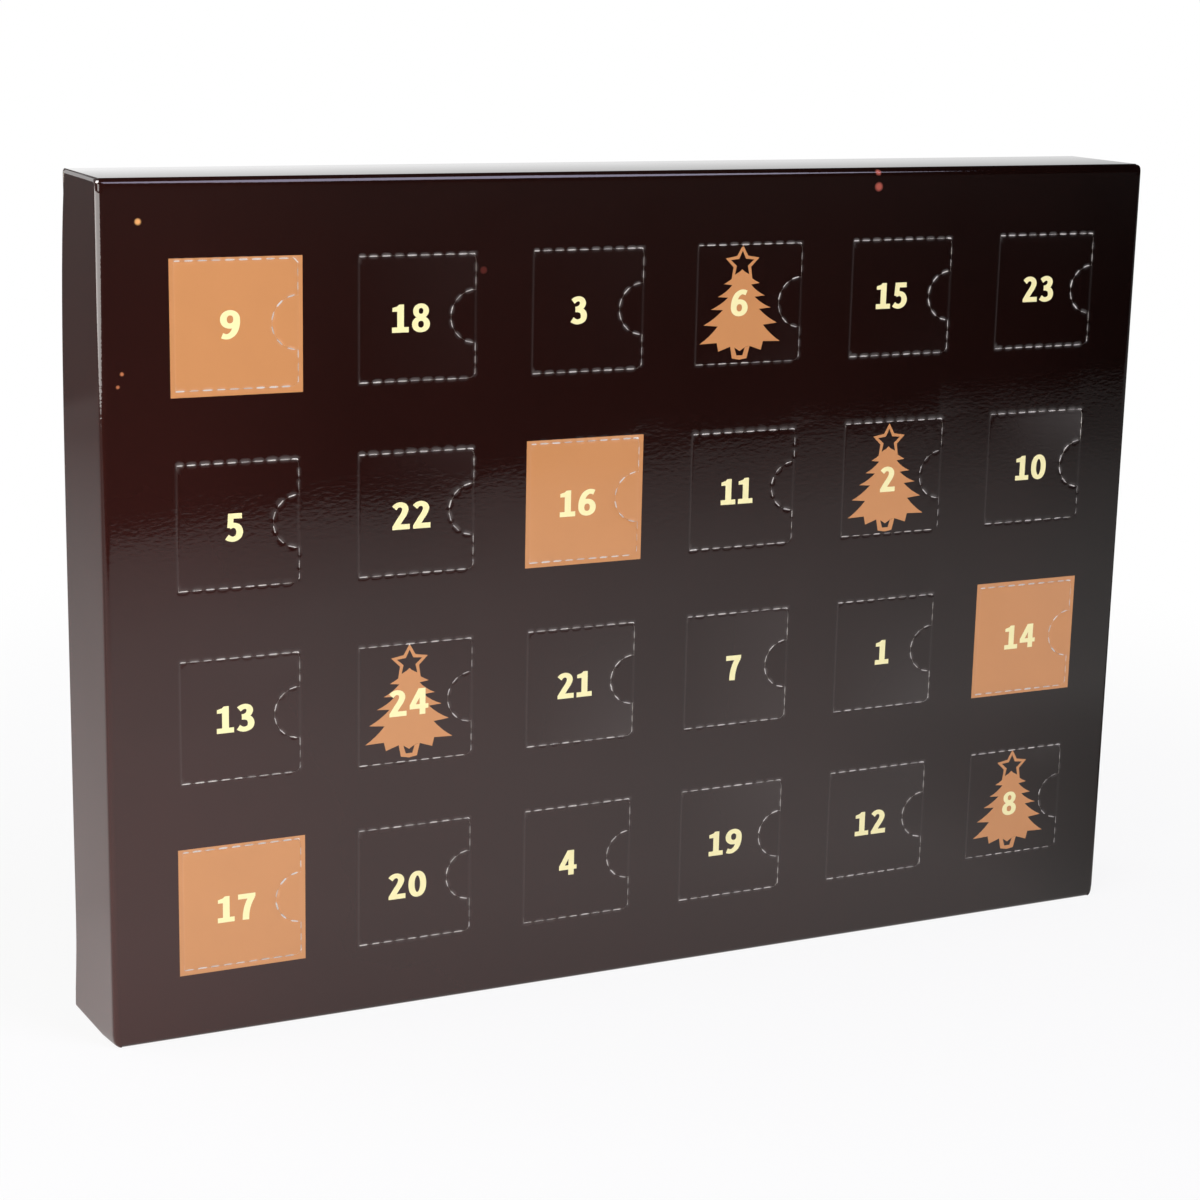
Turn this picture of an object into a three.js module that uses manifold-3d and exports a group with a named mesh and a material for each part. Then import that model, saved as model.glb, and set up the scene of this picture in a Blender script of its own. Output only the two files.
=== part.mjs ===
// Advent calendar: a flat folding-board carton with twenty-four perforated doors in its front,
// a formed tray with a pocket behind each door, and a tuck-in closure at each end.
// Millimetres, +Z up. The doors face -Y and the origin is the middle of the base.

import * as THREE from "three";
import * as BufferGeometryUtils from "three/addons/utils/BufferGeometryUtils.js";
import Module from "manifold-3d";

const wasm = await Module();
wasm.setup();

// Carton
const cartonWidth = 340;
const cartonHeight = 248;
const cartonDepth = 38;
const boardThickness = 0.6;
const foldGap = 0.3; // between two panels that are folded along a shared crease
const glueFlapHeight = 14;
const glueLine = 0.05;

// Door grid: the numbers printed on the doors, row by row from the top left
const doorNumbers = [
  [9, 18, 3, 6, 15, 23],
  [5, 22, 16, 11, 2, 10],
  [13, 24, 21, 7, 1, 14],
  [17, 20, 4, 19, 12, 8],
];
const doorWidth = 35.5;
const doorHeight = 35.7;
const leftMargin = 19.95; // board left of the first column of doors
const rightMargin = 16.55;
const topMargin = 22.45;
const bottomMargin = 21.25;
const doorCornerRadius = 2;
const perforationGap = 0.3; // cut between a door and the board round it

// Thumb tab: the half-moon in the free edge of each door
const tabRadius = 7.6;
const tabArcSteps = 10;
const cornerArcSteps = 3;

// End closures, with the lip that tucks in along the inside of the back panel
const closureEdgeInset = 0.3; // the closure stops this far inside the top and bottom folds
const closureBackGap = 0.6; // room between the tucked lip and the back panel as it swings
const lipLength = 12;
const lipEndInset = 5; // the lip is shorter than its closure at each end
const lipCornerRadius = 5;

// Dust flaps, folded down and up behind each closure
const dustFlapLength = 32;
const dustFlapShoulder = 5; // how much each side narrows towards the free edge
const dustFlapLipGap = 1.5; // room in front of the tucked lip

// Tray
const trayWall = 0.5;
const trayClearance = 0.4; // all round, to the carton's panels and dust flaps
const trayRimDepth = 6;
const pocketMouthMargin = 1.75; // the pocket's mouth is larger than its door by this, all round
const pocketDraftAngle = 3; // degrees
const pocketCornerRadius = 4;

// Worked-out sizes
const frontY = -cartonDepth / 2;
const backY = cartonDepth / 2;
const panelHalfWidth = cartonWidth / 2 - boardThickness - foldGap;
const columnCount = doorNumbers[0].length;
const rowCount = doorNumbers.length;
const columnPitch = (cartonWidth - leftMargin - rightMargin - doorWidth) / (columnCount - 1);
const rowPitch = (cartonHeight - topMargin - bottomMargin - doorHeight) / (rowCount - 1);
const closureRearY = backY - boardThickness - closureBackGap;

// Materials
const printedBoard = new THREE.MeshStandardMaterial({ color: 0x2b1a16, roughness: 0.25, metalness: 0 });
const plainBoard = new THREE.MeshStandardMaterial({ color: 0xcfc8bd, roughness: 0.85, metalness: 0 });
const formedPlastic = new THREE.MeshStandardMaterial({ color: 0x1b1614, roughness: 0.35, metalness: 0 });

const calendar = new THREE.Group();

function addNode(name, geometry, material) {
  const mesh = new THREE.Mesh(geometry, material);
  mesh.name = name;
  calendar.add(mesh);
  return mesh;
}

// The plate drawn in x and z, from the plane nearY backwards by its thickness.
function plateFacingFront(shape, nearY, thickness) {
  const geometry = new THREE.ExtrudeGeometry(shape, { depth: thickness, bevelEnabled: false });
  geometry.rotateX(Math.PI / 2);
  geometry.translate(0, nearY + thickness, 0);
  return geometry;
}

// The plate drawn in y and z, from the plane lowX towards +X by its thickness.
function plateFacingSide(shape, lowX, thickness) {
  const geometry = new THREE.ExtrudeGeometry(shape, { depth: thickness, bevelEnabled: false });
  const turn = new THREE.Matrix4().makeBasis(
    new THREE.Vector3(0, 1, 0),
    new THREE.Vector3(0, 0, 1),
    new THREE.Vector3(1, 0, 0),
  );
  geometry.applyMatrix4(turn);
  geometry.translate(lowX, 0, 0);
  return geometry;
}

function blockBetween(low, high) {
  const geometry = new THREE.BoxGeometry(high[0] - low[0], high[1] - low[1], high[2] - low[2]);
  geometry.translate((low[0] + high[0]) / 2, (low[1] + high[1]) / 2, (low[2] + high[2]) / 2);
  return geometry;
}

// Points of an arc, both ends included; the angles are in degrees from +X towards +Z.
function arcPoints(centreX, centreZ, radius, fromAngle, toAngle, steps) {
  return Array.from({ length: steps + 1 }, (_, i) => {
    const angle = THREE.MathUtils.degToRad(fromAngle + ((toAngle - fromAngle) * i) / steps);
    return new THREE.Vector2(centreX + radius * Math.cos(angle), centreZ + radius * Math.sin(angle));
  });
}

function toSolid(geometry) {
  const bare = geometry.index ? geometry.toNonIndexed() : geometry.clone();
  bare.deleteAttribute("normal");
  bare.deleteAttribute("uv");
  const merged = BufferGeometryUtils.mergeVertices(bare);
  return new wasm.Manifold(
    new wasm.Mesh({
      numProp: 3,
      vertProperties: new Float32Array(merged.attributes.position.array),
      triVerts: new Uint32Array(merged.index.array),
    }),
  );
}

function toGeometry(solid) {
  const mesh = solid.getMesh();
  const geometry = new THREE.BufferGeometry();
  geometry.setAttribute("position", new THREE.BufferAttribute(new Float32Array(mesh.vertProperties), 3));
  geometry.setIndex(new THREE.BufferAttribute(new Uint32Array(mesh.triVerts), 1));
  geometry.computeVertexNormals();
  return geometry;
}

// One cell of the door grid: the door's edges and its middle height.
function doorCell(row, column) {
  const left = -cartonWidth / 2 + leftMargin + column * columnPitch;
  const top = cartonHeight - topMargin - row * rowPitch;
  return {
    left,
    right: left + doorWidth,
    top,
    bottom: top - doorHeight,
    middle: top - doorHeight / 2,
    label: String(doorNumbers[row][column]).padStart(2, "0"),
  };
}

const cells = doorNumbers.flatMap((numbers, row) => numbers.map((_, column) => doorCell(row, column)));

// A door's outline grown by a margin: square on the hinge side and rounded on the free side.
function doorOutline(cell, margin) {
  const radius = doorCornerRadius + margin;
  const right = cell.right + margin;
  const top = cell.top + margin;
  const bottom = cell.bottom - margin;
  return [
    new THREE.Vector2(cell.left - margin, bottom),
    ...arcPoints(right - radius, bottom + radius, radius, -90, 0, cornerArcSteps),
    ...arcPoints(right - radius, top - radius, radius, 0, 90, cornerArcSteps),
    new THREE.Vector2(cell.left - margin, top),
  ];
}

// Front panel: one sheet of board with a window for each door and its thumb tab.
function frontPanel() {
  const sheet = blockBetween(
    [-panelHalfWidth, frontY, 0],
    [panelHalfWidth, frontY + boardThickness, cartonHeight],
  );
  const cutterNearY = frontY - boardThickness;
  const cutterDepth = 3 * boardThickness; // it stands proud of the sheet on both sides
  let solid = toSolid(sheet);
  for (const cell of cells) {
    const window = new THREE.Shape(doorOutline(cell, perforationGap));
    solid = solid.subtract(toSolid(plateFacingFront(window, cutterNearY, cutterDepth)));
  }
  return toGeometry(solid);
}

// Door: creased along its left edge, with a round notch in its free edge for the thumb tab.
function door(cell) {
  const outline = doorOutline(cell, 0);
  const notch = arcPoints(cell.right, cell.middle, tabRadius, 270, 90, tabArcSteps);
  const lowerHalf = outline.slice(0, cornerArcSteps + 2);
  const upperHalf = outline.slice(cornerArcSteps + 2);
  return plateFacingFront(new THREE.Shape([...lowerHalf, ...notch, ...upperHalf]), frontY, boardThickness);
}

// Thumb tab: a half disc creased along the line of the door's free edge, pushed in to free the door.
function thumbTab(cell) {
  const rim = arcPoints(cell.right, cell.middle, tabRadius - perforationGap, 90, 270, tabArcSteps);
  return plateFacingFront(new THREE.Shape(rim), frontY, boardThickness);
}

// Top, back and bottom panels. The back panel runs the full width, and its end edges show.
function cartonShell() {
  const innerY = frontY + boardThickness;
  const back = blockBetween(
    [-cartonWidth / 2, backY - boardThickness, 0],
    [cartonWidth / 2, backY, cartonHeight],
  );
  const top = blockBetween(
    [-panelHalfWidth, innerY, cartonHeight - boardThickness],
    [panelHalfWidth, backY, cartonHeight],
  );
  const bottom = blockBetween([-panelHalfWidth, innerY, 0], [panelHalfWidth, backY, boardThickness]);
  return toGeometry(toSolid(back).add(toSolid(top)).add(toSolid(bottom)));
}

// Glue flap: folded down from the top panel and glued to the inside of the back panel.
function glueFlap() {
  const halfWidth = panelHalfWidth - lipLength - lipEndInset;
  const top = cartonHeight - boardThickness - glueLine;
  const outer = backY - boardThickness - glueLine;
  return blockBetween(
    [-halfWidth, outer - boardThickness, top - glueFlapHeight],
    [halfWidth, outer, top],
  );
}

// End closure: creased to the front panel at the carton's front corner. side is -1 left, 1 right.
function closure(side) {
  const lowX = side < 0 ? -cartonWidth / 2 : cartonWidth / 2 - boardThickness;
  return blockBetween(
    [lowX, frontY, closureEdgeInset],
    [lowX + boardThickness, closureRearY, cartonHeight - closureEdgeInset],
  );
}

// Tuck lip: creased to the rear edge of its closure and tucked along the back panel.
function tuckLip(side) {
  const foldX = cartonWidth / 2 - boardThickness - foldGap;
  const low = closureEdgeInset + lipEndInset;
  const high = cartonHeight - low;
  const tipX = foldX - lipLength;
  const centreX = tipX + lipCornerRadius;
  const outline = [
    new THREE.Vector2(foldX, low),
    new THREE.Vector2(foldX, high),
    ...arcPoints(centreX, high - lipCornerRadius, lipCornerRadius, 90, 180, cornerArcSteps),
    ...arcPoints(centreX, low + lipCornerRadius, lipCornerRadius, 180, 270, cornerArcSteps),
  ].map((point) => new THREE.Vector2(side * point.x, point.y));
  return plateFacingFront(new THREE.Shape(outline), closureRearY - boardThickness, boardThickness);
}

// Dust flap: folded over from the end of the top (level 1) or bottom (level -1) panel.
function dustFlap(side, level) {
  const lowX = side < 0 ? -panelHalfWidth : panelHalfWidth - boardThickness;
  const foldZ = cartonHeight / 2 - boardThickness - foldGap;
  const tipZ = foldZ - dustFlapLength;
  const near = frontY + boardThickness + foldGap;
  const far = closureRearY - boardThickness - dustFlapLipGap;
  const outline = [
    new THREE.Vector2(near, foldZ),
    new THREE.Vector2(near + dustFlapShoulder, tipZ),
    new THREE.Vector2(far - dustFlapShoulder, tipZ),
    new THREE.Vector2(far, foldZ),
  ].map((point) => new THREE.Vector2(point.x, cartonHeight / 2 + level * point.y));
  return plateFacingSide(new THREE.Shape(outline), lowX, boardThickness);
}

// A loop of a pocket's wall: a rounded rectangle in x and z, counter-clockwise seen from the front.
function pocketLoop(cell, inset) {
  const radius = pocketCornerRadius - Math.min(inset, pocketCornerRadius / 2);
  const halfWidth = doorWidth / 2 + pocketMouthMargin - inset;
  const halfHeight = doorHeight / 2 + pocketMouthMargin - inset;
  const middleX = (cell.left + cell.right) / 2;
  const corners = [
    [1, 1, 0],
    [-1, 1, 90],
    [-1, -1, 180],
    [1, -1, 270],
  ];
  return corners.flatMap(([sideX, sideZ, angle]) =>
    arcPoints(
      middleX + sideX * (halfWidth - radius),
      cell.middle + sideZ * (halfHeight - radius),
      radius,
      angle,
      angle + 90,
      cornerArcSteps - 1,
    ),
  );
}

// A closed block between two loops of equal length, the near one at nearY and the far one at farY.
function loftBetween(nearLoop, nearY, farLoop, farY) {
  const count = nearLoop.length;
  const points = [...nearLoop.map((p) => [p.x, nearY, p.y]), ...farLoop.map((p) => [p.x, farY, p.y])];
  const triangles = [];
  for (let i = 0; i < count; i += 1) {
    const next = (i + 1) % count;
    triangles.push(i, count + i, next);
    triangles.push(next, count + i, count + next);
  }
  for (let i = 1; i < count - 1; i += 1) {
    triangles.push(0, i, i + 1);
    triangles.push(count, count + i + 1, count + i);
  }
  const geometry = new THREE.BufferGeometry();
  geometry.setAttribute("position", new THREE.Float32BufferAttribute(points.flat(), 3));
  geometry.setIndex(triangles);
  return geometry;
}

// Tray: a thin flange behind the front panel, a turned-back rim, and a drafted pocket behind each door.
function tray() {
  const nearY = frontY + boardThickness + trayClearance;
  const farY = backY - boardThickness - trayClearance;
  const halfWidth = panelHalfWidth - boardThickness - trayClearance;
  const low = boardThickness + trayClearance;
  const high = cartonHeight - low;
  const slope = Math.tan(THREE.MathUtils.degToRad(pocketDraftAngle));
  const rim = toSolid(blockBetween([-halfWidth, nearY, low], [halfWidth, nearY + trayRimDepth, high]));
  const behind = toSolid(
    blockBetween(
      [-halfWidth + trayWall, nearY + trayWall, low + trayWall],
      [halfWidth - trayWall, nearY + trayRimDepth + trayWall, high - trayWall],
    ),
  );
  let solid = rim.subtract(behind);
  for (const cell of cells) {
    const outerFar = pocketLoop(cell, (farY - nearY) * slope - trayWall);
    solid = solid.add(toSolid(loftBetween(pocketLoop(cell, -trayWall), nearY, outerFar, farY)));
  }
  for (const cell of cells) {
    const cutY = nearY - trayWall;
    const floorY = farY - trayWall;
    const mouth = pocketLoop(cell, -trayWall * slope);
    const floor = pocketLoop(cell, (floorY - nearY) * slope);
    solid = solid.subtract(toSolid(loftBetween(mouth, cutY, floor, floorY)));
  }
  return toGeometry(solid);
}

addNode("front_panel", frontPanel(), printedBoard);
addNode("carton_shell", cartonShell(), printedBoard);
addNode("glue_flap", glueFlap(), plainBoard);
for (const cell of cells) {
  addNode(`door_${cell.label}`, door(cell), printedBoard);
  addNode(`thumb_tab_${cell.label}`, thumbTab(cell), printedBoard);
}
for (const [sideName, side] of [["left", -1], ["right", 1]]) {
  addNode(`closure_${sideName}`, closure(side), printedBoard);
  addNode(`tuck_lip_${sideName}`, tuckLip(side), printedBoard);
  addNode(`dust_flap_${sideName}_top`, dustFlap(side, 1), plainBoard);
  addNode(`dust_flap_${sideName}_bottom`, dustFlap(side, -1), plainBoard);
}
addNode("tray", tray(), formedPlastic);

export default calendar;
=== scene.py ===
import math

import bpy
import numpy as np
from mathutils import Matrix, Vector
from mathutils.geometry import delaunay_2d_cdt


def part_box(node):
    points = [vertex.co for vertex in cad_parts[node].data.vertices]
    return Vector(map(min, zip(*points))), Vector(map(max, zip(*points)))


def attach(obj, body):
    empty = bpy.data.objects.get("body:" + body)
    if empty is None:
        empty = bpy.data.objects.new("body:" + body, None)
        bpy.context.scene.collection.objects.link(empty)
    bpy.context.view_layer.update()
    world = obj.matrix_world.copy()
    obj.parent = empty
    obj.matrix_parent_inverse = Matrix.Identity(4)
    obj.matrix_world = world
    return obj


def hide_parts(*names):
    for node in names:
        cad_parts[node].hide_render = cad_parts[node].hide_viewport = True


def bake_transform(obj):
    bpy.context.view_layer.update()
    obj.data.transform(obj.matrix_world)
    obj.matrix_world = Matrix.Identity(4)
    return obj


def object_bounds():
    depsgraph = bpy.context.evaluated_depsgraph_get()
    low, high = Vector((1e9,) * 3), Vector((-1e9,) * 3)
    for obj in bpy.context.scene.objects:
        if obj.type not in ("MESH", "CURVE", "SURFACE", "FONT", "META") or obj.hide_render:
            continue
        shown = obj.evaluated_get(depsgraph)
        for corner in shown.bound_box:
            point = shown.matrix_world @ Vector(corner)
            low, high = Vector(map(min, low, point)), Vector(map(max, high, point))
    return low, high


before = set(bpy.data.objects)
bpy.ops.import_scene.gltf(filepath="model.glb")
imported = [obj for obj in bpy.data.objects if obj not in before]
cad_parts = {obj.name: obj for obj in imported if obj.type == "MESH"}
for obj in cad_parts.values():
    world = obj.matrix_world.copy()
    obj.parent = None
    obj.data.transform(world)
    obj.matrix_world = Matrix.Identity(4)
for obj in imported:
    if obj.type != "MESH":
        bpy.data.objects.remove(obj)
cad_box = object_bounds()

# The sheet of board. The carton is one die-cut sheet of thin folding boxboard, printed dark
# chocolate brown with copper squares and coated with a gloss film. Its back is uncoated and
# its cut edges are pale. All printed pieces share these looks and one way of making a plate.
mm = 0.001
carton_low, carton_high = cad_box
front_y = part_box("front_panel")[0].y
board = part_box("front_panel")[1].y - front_y


def door_frame(number):
    """Left, right, bottom and top of a door, from its solid in the frame."""
    low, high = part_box(f"door_{number:02d}")
    return low.x, high.x, low.z, high.z


def feed(tree, kind, inputs=None, output=0, **settings):
    """One node: its settings, then each input given as a value or as another node's output."""
    node = tree.nodes.new(kind)
    for key, value in settings.items():
        setattr(node, key, value)
    for key, value in (inputs or {}).items():
        if isinstance(value, bpy.types.NodeSocket):
            tree.links.new(value, node.inputs[key])
        else:
            node.inputs[key].default_value = value
    return node.outputs[output]


def sums(tree, operation, *values, clamp=False):
    """A Math node on up to three values."""
    return feed(tree, "ShaderNodeMath", dict(enumerate(values)), operation=operation, use_clamp=clamp)


def blend_colours(tree, share, first, second, mode="MIX"):
    """A colour Mix node: share 0 gives the first colour and 1 the second."""
    return feed(tree, "ShaderNodeMix", {0: share, 6: first, 7: second}, 2, data_type="RGBA", blend_type=mode)


def ramp(tree, value, start=0.0, end=1.0, low=0.0, high=1.0):
    """Runs from low at start to high at end, and stays level past both."""
    return feed(tree, "ShaderNodeMapRange", {"Value": value, 1: start, 2: end, 3: low, 4: high})


def noise(tree, place, scale, detail, **more):
    """Soft noise from 0 to 1 over a place in metres."""
    inputs = {"Vector": place, "Scale": scale, "Detail": detail, **more}
    return feed(tree, "ShaderNodeTexNoise", inputs, "Fac")


def kept(tree, label, output="Fac"):
    """What a piece's points keep under a label."""
    return feed(tree, "ShaderNodeAttribute", None, output, attribute_name=label)


def axes_of(tree, place):
    """The sockets X, Y and Z of a place."""
    node = tree.nodes.new("ShaderNodeSeparateXYZ")
    tree.links.new(place, node.inputs[0])
    return node.outputs


def bump(tree, height):
    """The normal of a surface raised by a height in metres."""
    return feed(tree, "ShaderNodeBump", {"Strength": 1.0, "Distance": 1.0, "Height": height})


colour, number, vector = "NodeSocketColor", "NodeSocketFloat", "NodeSocketVector"


def effect_group(name, inputs):
    """A shader node group with named inputs that puts out a colour, a roughness and a normal; returns it
    and the sockets of its inputs."""
    group = bpy.data.node_groups.new(name, "ShaderNodeTree")
    for label, (kind, value) in inputs.items():
        group.interface.new_socket(label, in_out="INPUT", socket_type=kind).default_value = value
    for label, kind in (("Color", colour), ("Roughness", number), ("Normal", vector)):
        group.interface.new_socket(label, in_out="OUTPUT", socket_type=kind)
    return group, group.nodes.new("NodeGroupInput").outputs


def close_group(group, shade, roughness, height):
    """Joins the results to the group's outputs; the height in metres goes out as a normal."""
    end = group.nodes.new("NodeGroupOutput")
    for label, socket in (("Color", shade), ("Roughness", roughness), ("Normal", bump(group, height))):
        group.links.new(socket, end.inputs[label])


def new_look(name, group=None, **values):
    """A material, its node tree and its Principled shader; a group's results go to the shader."""
    look = bpy.data.materials.new(name)
    look.use_nodes = True
    tree = look.node_tree
    shader = tree.nodes["Principled BSDF"]
    if group is not None:
        put_in(tree, shader, group, **values)
    return look, tree, shader


def put_in(tree, shader, group, **values):
    """Places a group in a material with its own values and joins its results to the shader."""
    node = feed(tree, "ShaderNodeGroup", values, node_tree=group).node
    for result, socket in (("Color", "Base Color"), ("Roughness", "Roughness"), ("Normal", "Normal")):
        tree.links.new(node.outputs[result], shader.inputs[socket])


# The gloss film: where a cut has torn it, white fibres show through with ragged edges, and where the die
# has stretched it, it is a little hazy.
fibre_size = 0.35 * mm
raggedness, torn_from, torn_steepness = 0.55, 0.36, 9.0
fibre_height, wave_height, tear_height = 0.013 * mm, 0.13 * mm, 0.12 * mm
film_gloss, smudge_gloss, torn_roughness = 0.01, 0.02, 0.85
most_haze = 0.11
film, film_in = effect_group("gloss_film", {"Print": (colour, (0.02, 0.01, 0.01, 1)),
                                            "Fibre": (colour, (0.86, 0.82, 0.76, 1))})
place = kept(film, "printed_at", "Vector")
ragged = noise(film, place, 1 / fibre_size, 2.0)
uneven = sums(film, "MULTIPLY", sums(film, "SUBTRACT", ragged, 0.5), raggedness)
torn = sums(film, "ADD", kept(film, "torn"), uneven)
tear = sums(film, "MULTIPLY", sums(film, "SUBTRACT", torn, torn_from), torn_steepness, clamp=True)
long_way = feed(film, "ShaderNodeMapping", {"Vector": place, "Scale": (0.5, 0.7, 1.0)})
relief = sums(film, "ADD", sums(film, "MULTIPLY", noise(film, long_way, 1000.0, 3.0), fibre_height),
              sums(film, "MULTIPLY", noise(film, place, 26.0, 1.0), wave_height))
relief = sums(film, "ADD", relief, sums(film, "MULTIPLY", sums(film, "MULTIPLY", tear, ragged), tear_height))
gloss = sums(film, "ADD", sums(film, "MULTIPLY", noise(film, place, 45.0, 4.0), smudge_gloss), film_gloss)
haze = sums(film, "MULTIPLY", kept(film, "stretched"), most_haze)
hazed = blend_colours(film, haze, film_in["Print"], film_in["Fibre"])
close_group(film, blend_colours(film, tear, hazed, film_in["Fibre"]),
            feed(film, "ShaderNodeMix", {0: tear, 2: gloss, 3: torn_roughness}), relief)


def coat(tree, shader, print_colour):
    """Puts the gloss film over a print: colour, roughness and normal come from the film's group."""
    put_in(tree, shader, film, Print=print_colour)
    shader.inputs["IOR"].default_value = 1.5


def mottled(tree, base, amount, size):
    """A flat ink with slow, slight changes of strength: the base colour times 1 +- amount."""
    patch = noise(tree, kept(tree, "printed_at", "Vector"), 1 / size, 3.0)
    return blend_colours(tree, 1.0, base, ramp(tree, patch, low=1 - amount, high=1 + amount), "MULTIPLY")


square_numbers = (9, 16, 14, 17)
square_half_side = 19.1 * mm
square_drop = 0.5 * mm  # the middle of a square is this far below the middle of its door
copper_colour = (0.612, 0.277, 0.107, 1)
cream_colour = (0.97, 0.90, 0.46, 1)
# The brown at shares of the carton's width, near the top and near the foot
upper_browns = {0.0: (0.0205, 0.0060, 0.0046), 0.27: (0.0134, 0.0043, 0.0033), 0.6: (0.0108, 0.0036, 0.0027),
                0.85: (0.0074, 0.0026, 0.0020), 1.0: (0.0045, 0.0018, 0.0014)}
lower_browns = {0.0: (0.041, 0.0108, 0.0090), 0.27: (0.0300, 0.0085, 0.0070), 0.6: (0.0215, 0.0068, 0.0056),
                0.85: (0.0150, 0.0052, 0.0043), 1.0: (0.0080, 0.0034, 0.0027)}
# Places in x and z, radius and colour of the small printed sparks
sparks = (((-159.7, 236.4), 0.85, (0.80, 0.40, 0.14)), ((-164.9, 195.4), 0.55, (0.45, 0.16, 0.07)),
          ((-166.1, 191.9), 0.5, (0.45, 0.16, 0.07)), ((72.0, 246.8), 1.0, (0.42, 0.10, 0.07)),
          ((72.3, 242.3), 1.25, (0.42, 0.10, 0.07)), ((-58.6, 220.6), 1.0, (0.09, 0.02, 0.015)))


def brown_ramp(tree, share, browns):
    """The brown along the width, through its named stops."""
    node = tree.nodes.new("ShaderNodeValToRGB")
    node.color_ramp.interpolation = "EASE"
    stops = node.color_ramp.elements
    while len(stops) < len(browns):
        stops.new(0.5)
    for stop, (position, value) in zip(stops, browns.items()):
        stop.position = position
        stop.color = (*value, 1)
    tree.links.new(share, node.inputs["Fac"])
    return node.outputs["Color"]


chocolate_print, tree, shader = new_look("chocolate_print")
place = kept(tree, "printed_at", "Vector")
apart = axes_of(tree, place)
width_share = ramp(tree, apart["X"], carton_low.x, carton_high.x)
height_share = ramp(tree, apart["Z"], carton_low.z, carton_high.z)
brown = blend_colours(tree, height_share, brown_ramp(tree, width_share, lower_browns),
                      brown_ramp(tree, width_share, upper_browns))
patches = ramp(tree, noise(tree, place, 14.0, 4.0), low=0.8, high=1.2)
brown = blend_colours(tree, 1.0, brown, patches, "MULTIPLY")
for (x, z), radius, spark_colour in sparks:
    away = feed(tree, "ShaderNodeVectorMath", {0: place, 1: (x * mm, front_y, z * mm)}, "Value",
                operation="DISTANCE")
    mask = ramp(tree, away, radius * 1.25 * mm, radius * 0.6 * mm)
    brown = blend_colours(tree, mask, brown, (*spark_colour, 1))
in_square = None
for square_number in square_numbers:
    left, right, bottom, top = door_frame(square_number)
    middle = ((left + right) / 2, front_y, (bottom + top) / 2 - square_drop)
    offset = feed(tree, "ShaderNodeVectorMath", {0: place, 1: middle}, operation="SUBTRACT")
    sides = axes_of(tree, feed(tree, "ShaderNodeVectorMath", {0: offset}, operation="ABSOLUTE"))
    furthest = sums(tree, "MAXIMUM", sums(tree, "MAXIMUM", sides["X"], sides["Z"]), sides["Y"])
    here = sums(tree, "LESS_THAN", furthest, square_half_side)
    in_square = here if in_square is None else sums(tree, "MAXIMUM", in_square, here)
copper_patch, cream_patch = 12 * mm, 3 * mm
copper = mottled(tree, copper_colour, 0.03, copper_patch)
coat(tree, shader, blend_colours(tree, in_square, brown, copper))

copper_ink, tree, shader = new_look("copper_ink")
coat(tree, shader, mottled(tree, copper_colour, 0.03, copper_patch))
cream_ink, tree, shader = new_look("cream_ink")
coat(tree, shader, mottled(tree, cream_colour, 0.02, cream_patch))

# Uncoated back of the board and its cut edge: a pale grey mat with short fibres.
pulp, pulp_in = effect_group("board_pulp", {"Pale": (colour, (0.6, 0.57, 0.53, 1)),
                                            "Deep": (colour, (0.45, 0.42, 0.38, 1)),
                                            "Fineness": (number, 1 / (0.4 * mm))})
place = kept(pulp, "printed_at", "Vector")
short = feed(pulp, "ShaderNodeMapping", {"Vector": place, "Scale": (1.0, 1.0, 0.35)})
fibres = noise(pulp, short, pulp_in["Fineness"], 4.0)
share = sums(pulp, "ADD", sums(pulp, "MULTIPLY", fibres, 0.7),
             sums(pulp, "MULTIPLY", noise(pulp, place, 60.0, 3.0), 0.3), clamp=True)
close_group(pulp, blend_colours(pulp, share, pulp_in["Deep"], pulp_in["Pale"]),
            ramp(pulp, fibres, low=0.75, high=0.95), sums(pulp, "MULTIPLY", fibres, 0.03 * mm))
raw_board = new_look("raw_board", pulp, Pale=(0.68, 0.64, 0.58, 1), Deep=(0.50, 0.46, 0.41, 1),
                     Fineness=1 / (0.5 * mm))[0]
cut_edge = new_look("cut_edge", pulp, Pale=(0.85, 0.82, 0.77, 1), Deep=(0.60, 0.56, 0.50, 1),
                    Fineness=1 / (0.15 * mm))[0]


crisp_angle = math.radians(35)  # edges that bend more than this are drawn sharp


def make_piece(name, points, parts, torn=None, stretched=None):
    """A mesh from an array of points and pairs of (faces, look); every point also keeps its place at
    rest, which the print reads, and how far the film is torn and stretched there, from 0 to 1."""
    mesh = bpy.data.meshes.new(name)
    sizes = np.concatenate([np.full(len(faces), faces.shape[1]) for faces, look in parts])
    corners = np.concatenate([faces.ravel() for faces, look in parts]).astype(np.int32)
    mesh.vertices.add(len(points))
    mesh.vertices.foreach_set("co", np.ascontiguousarray(points, np.float32).ravel())
    mesh.loops.add(len(corners))
    mesh.loops.foreach_set("vertex_index", corners)
    mesh.polygons.add(len(sizes))
    mesh.polygons.foreach_set("loop_start", (np.cumsum(sizes) - sizes).astype(np.int32))
    looks = list(dict.fromkeys(look for faces, look in parts))
    for look in looks:
        mesh.materials.append(look)
    which = np.concatenate([np.full(len(faces), looks.index(look)) for faces, look in parts])
    mesh.polygons.foreach_set("material_index", which.astype(np.int32))
    mesh.polygons.foreach_set("use_smooth", np.ones(len(sizes), bool))
    mesh.update(calc_edges=True)
    mesh.validate()
    mesh.set_sharp_from_angle(angle=crisp_angle)
    kept = mesh.attributes.new("printed_at", "FLOAT_VECTOR", "POINT")
    kept.data.foreach_set("vector", np.ascontiguousarray(points, np.float32).ravel())
    for label, values in (("torn", torn), ("stretched", stretched)):
        values = np.zeros(len(points)) if values is None else values
        mesh.attributes.new(label, "FLOAT", "POINT").data.foreach_set("value", values.astype(np.float32))
    piece = bpy.data.objects.new(name, mesh)
    bpy.context.scene.collection.objects.link(piece)
    return piece


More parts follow.
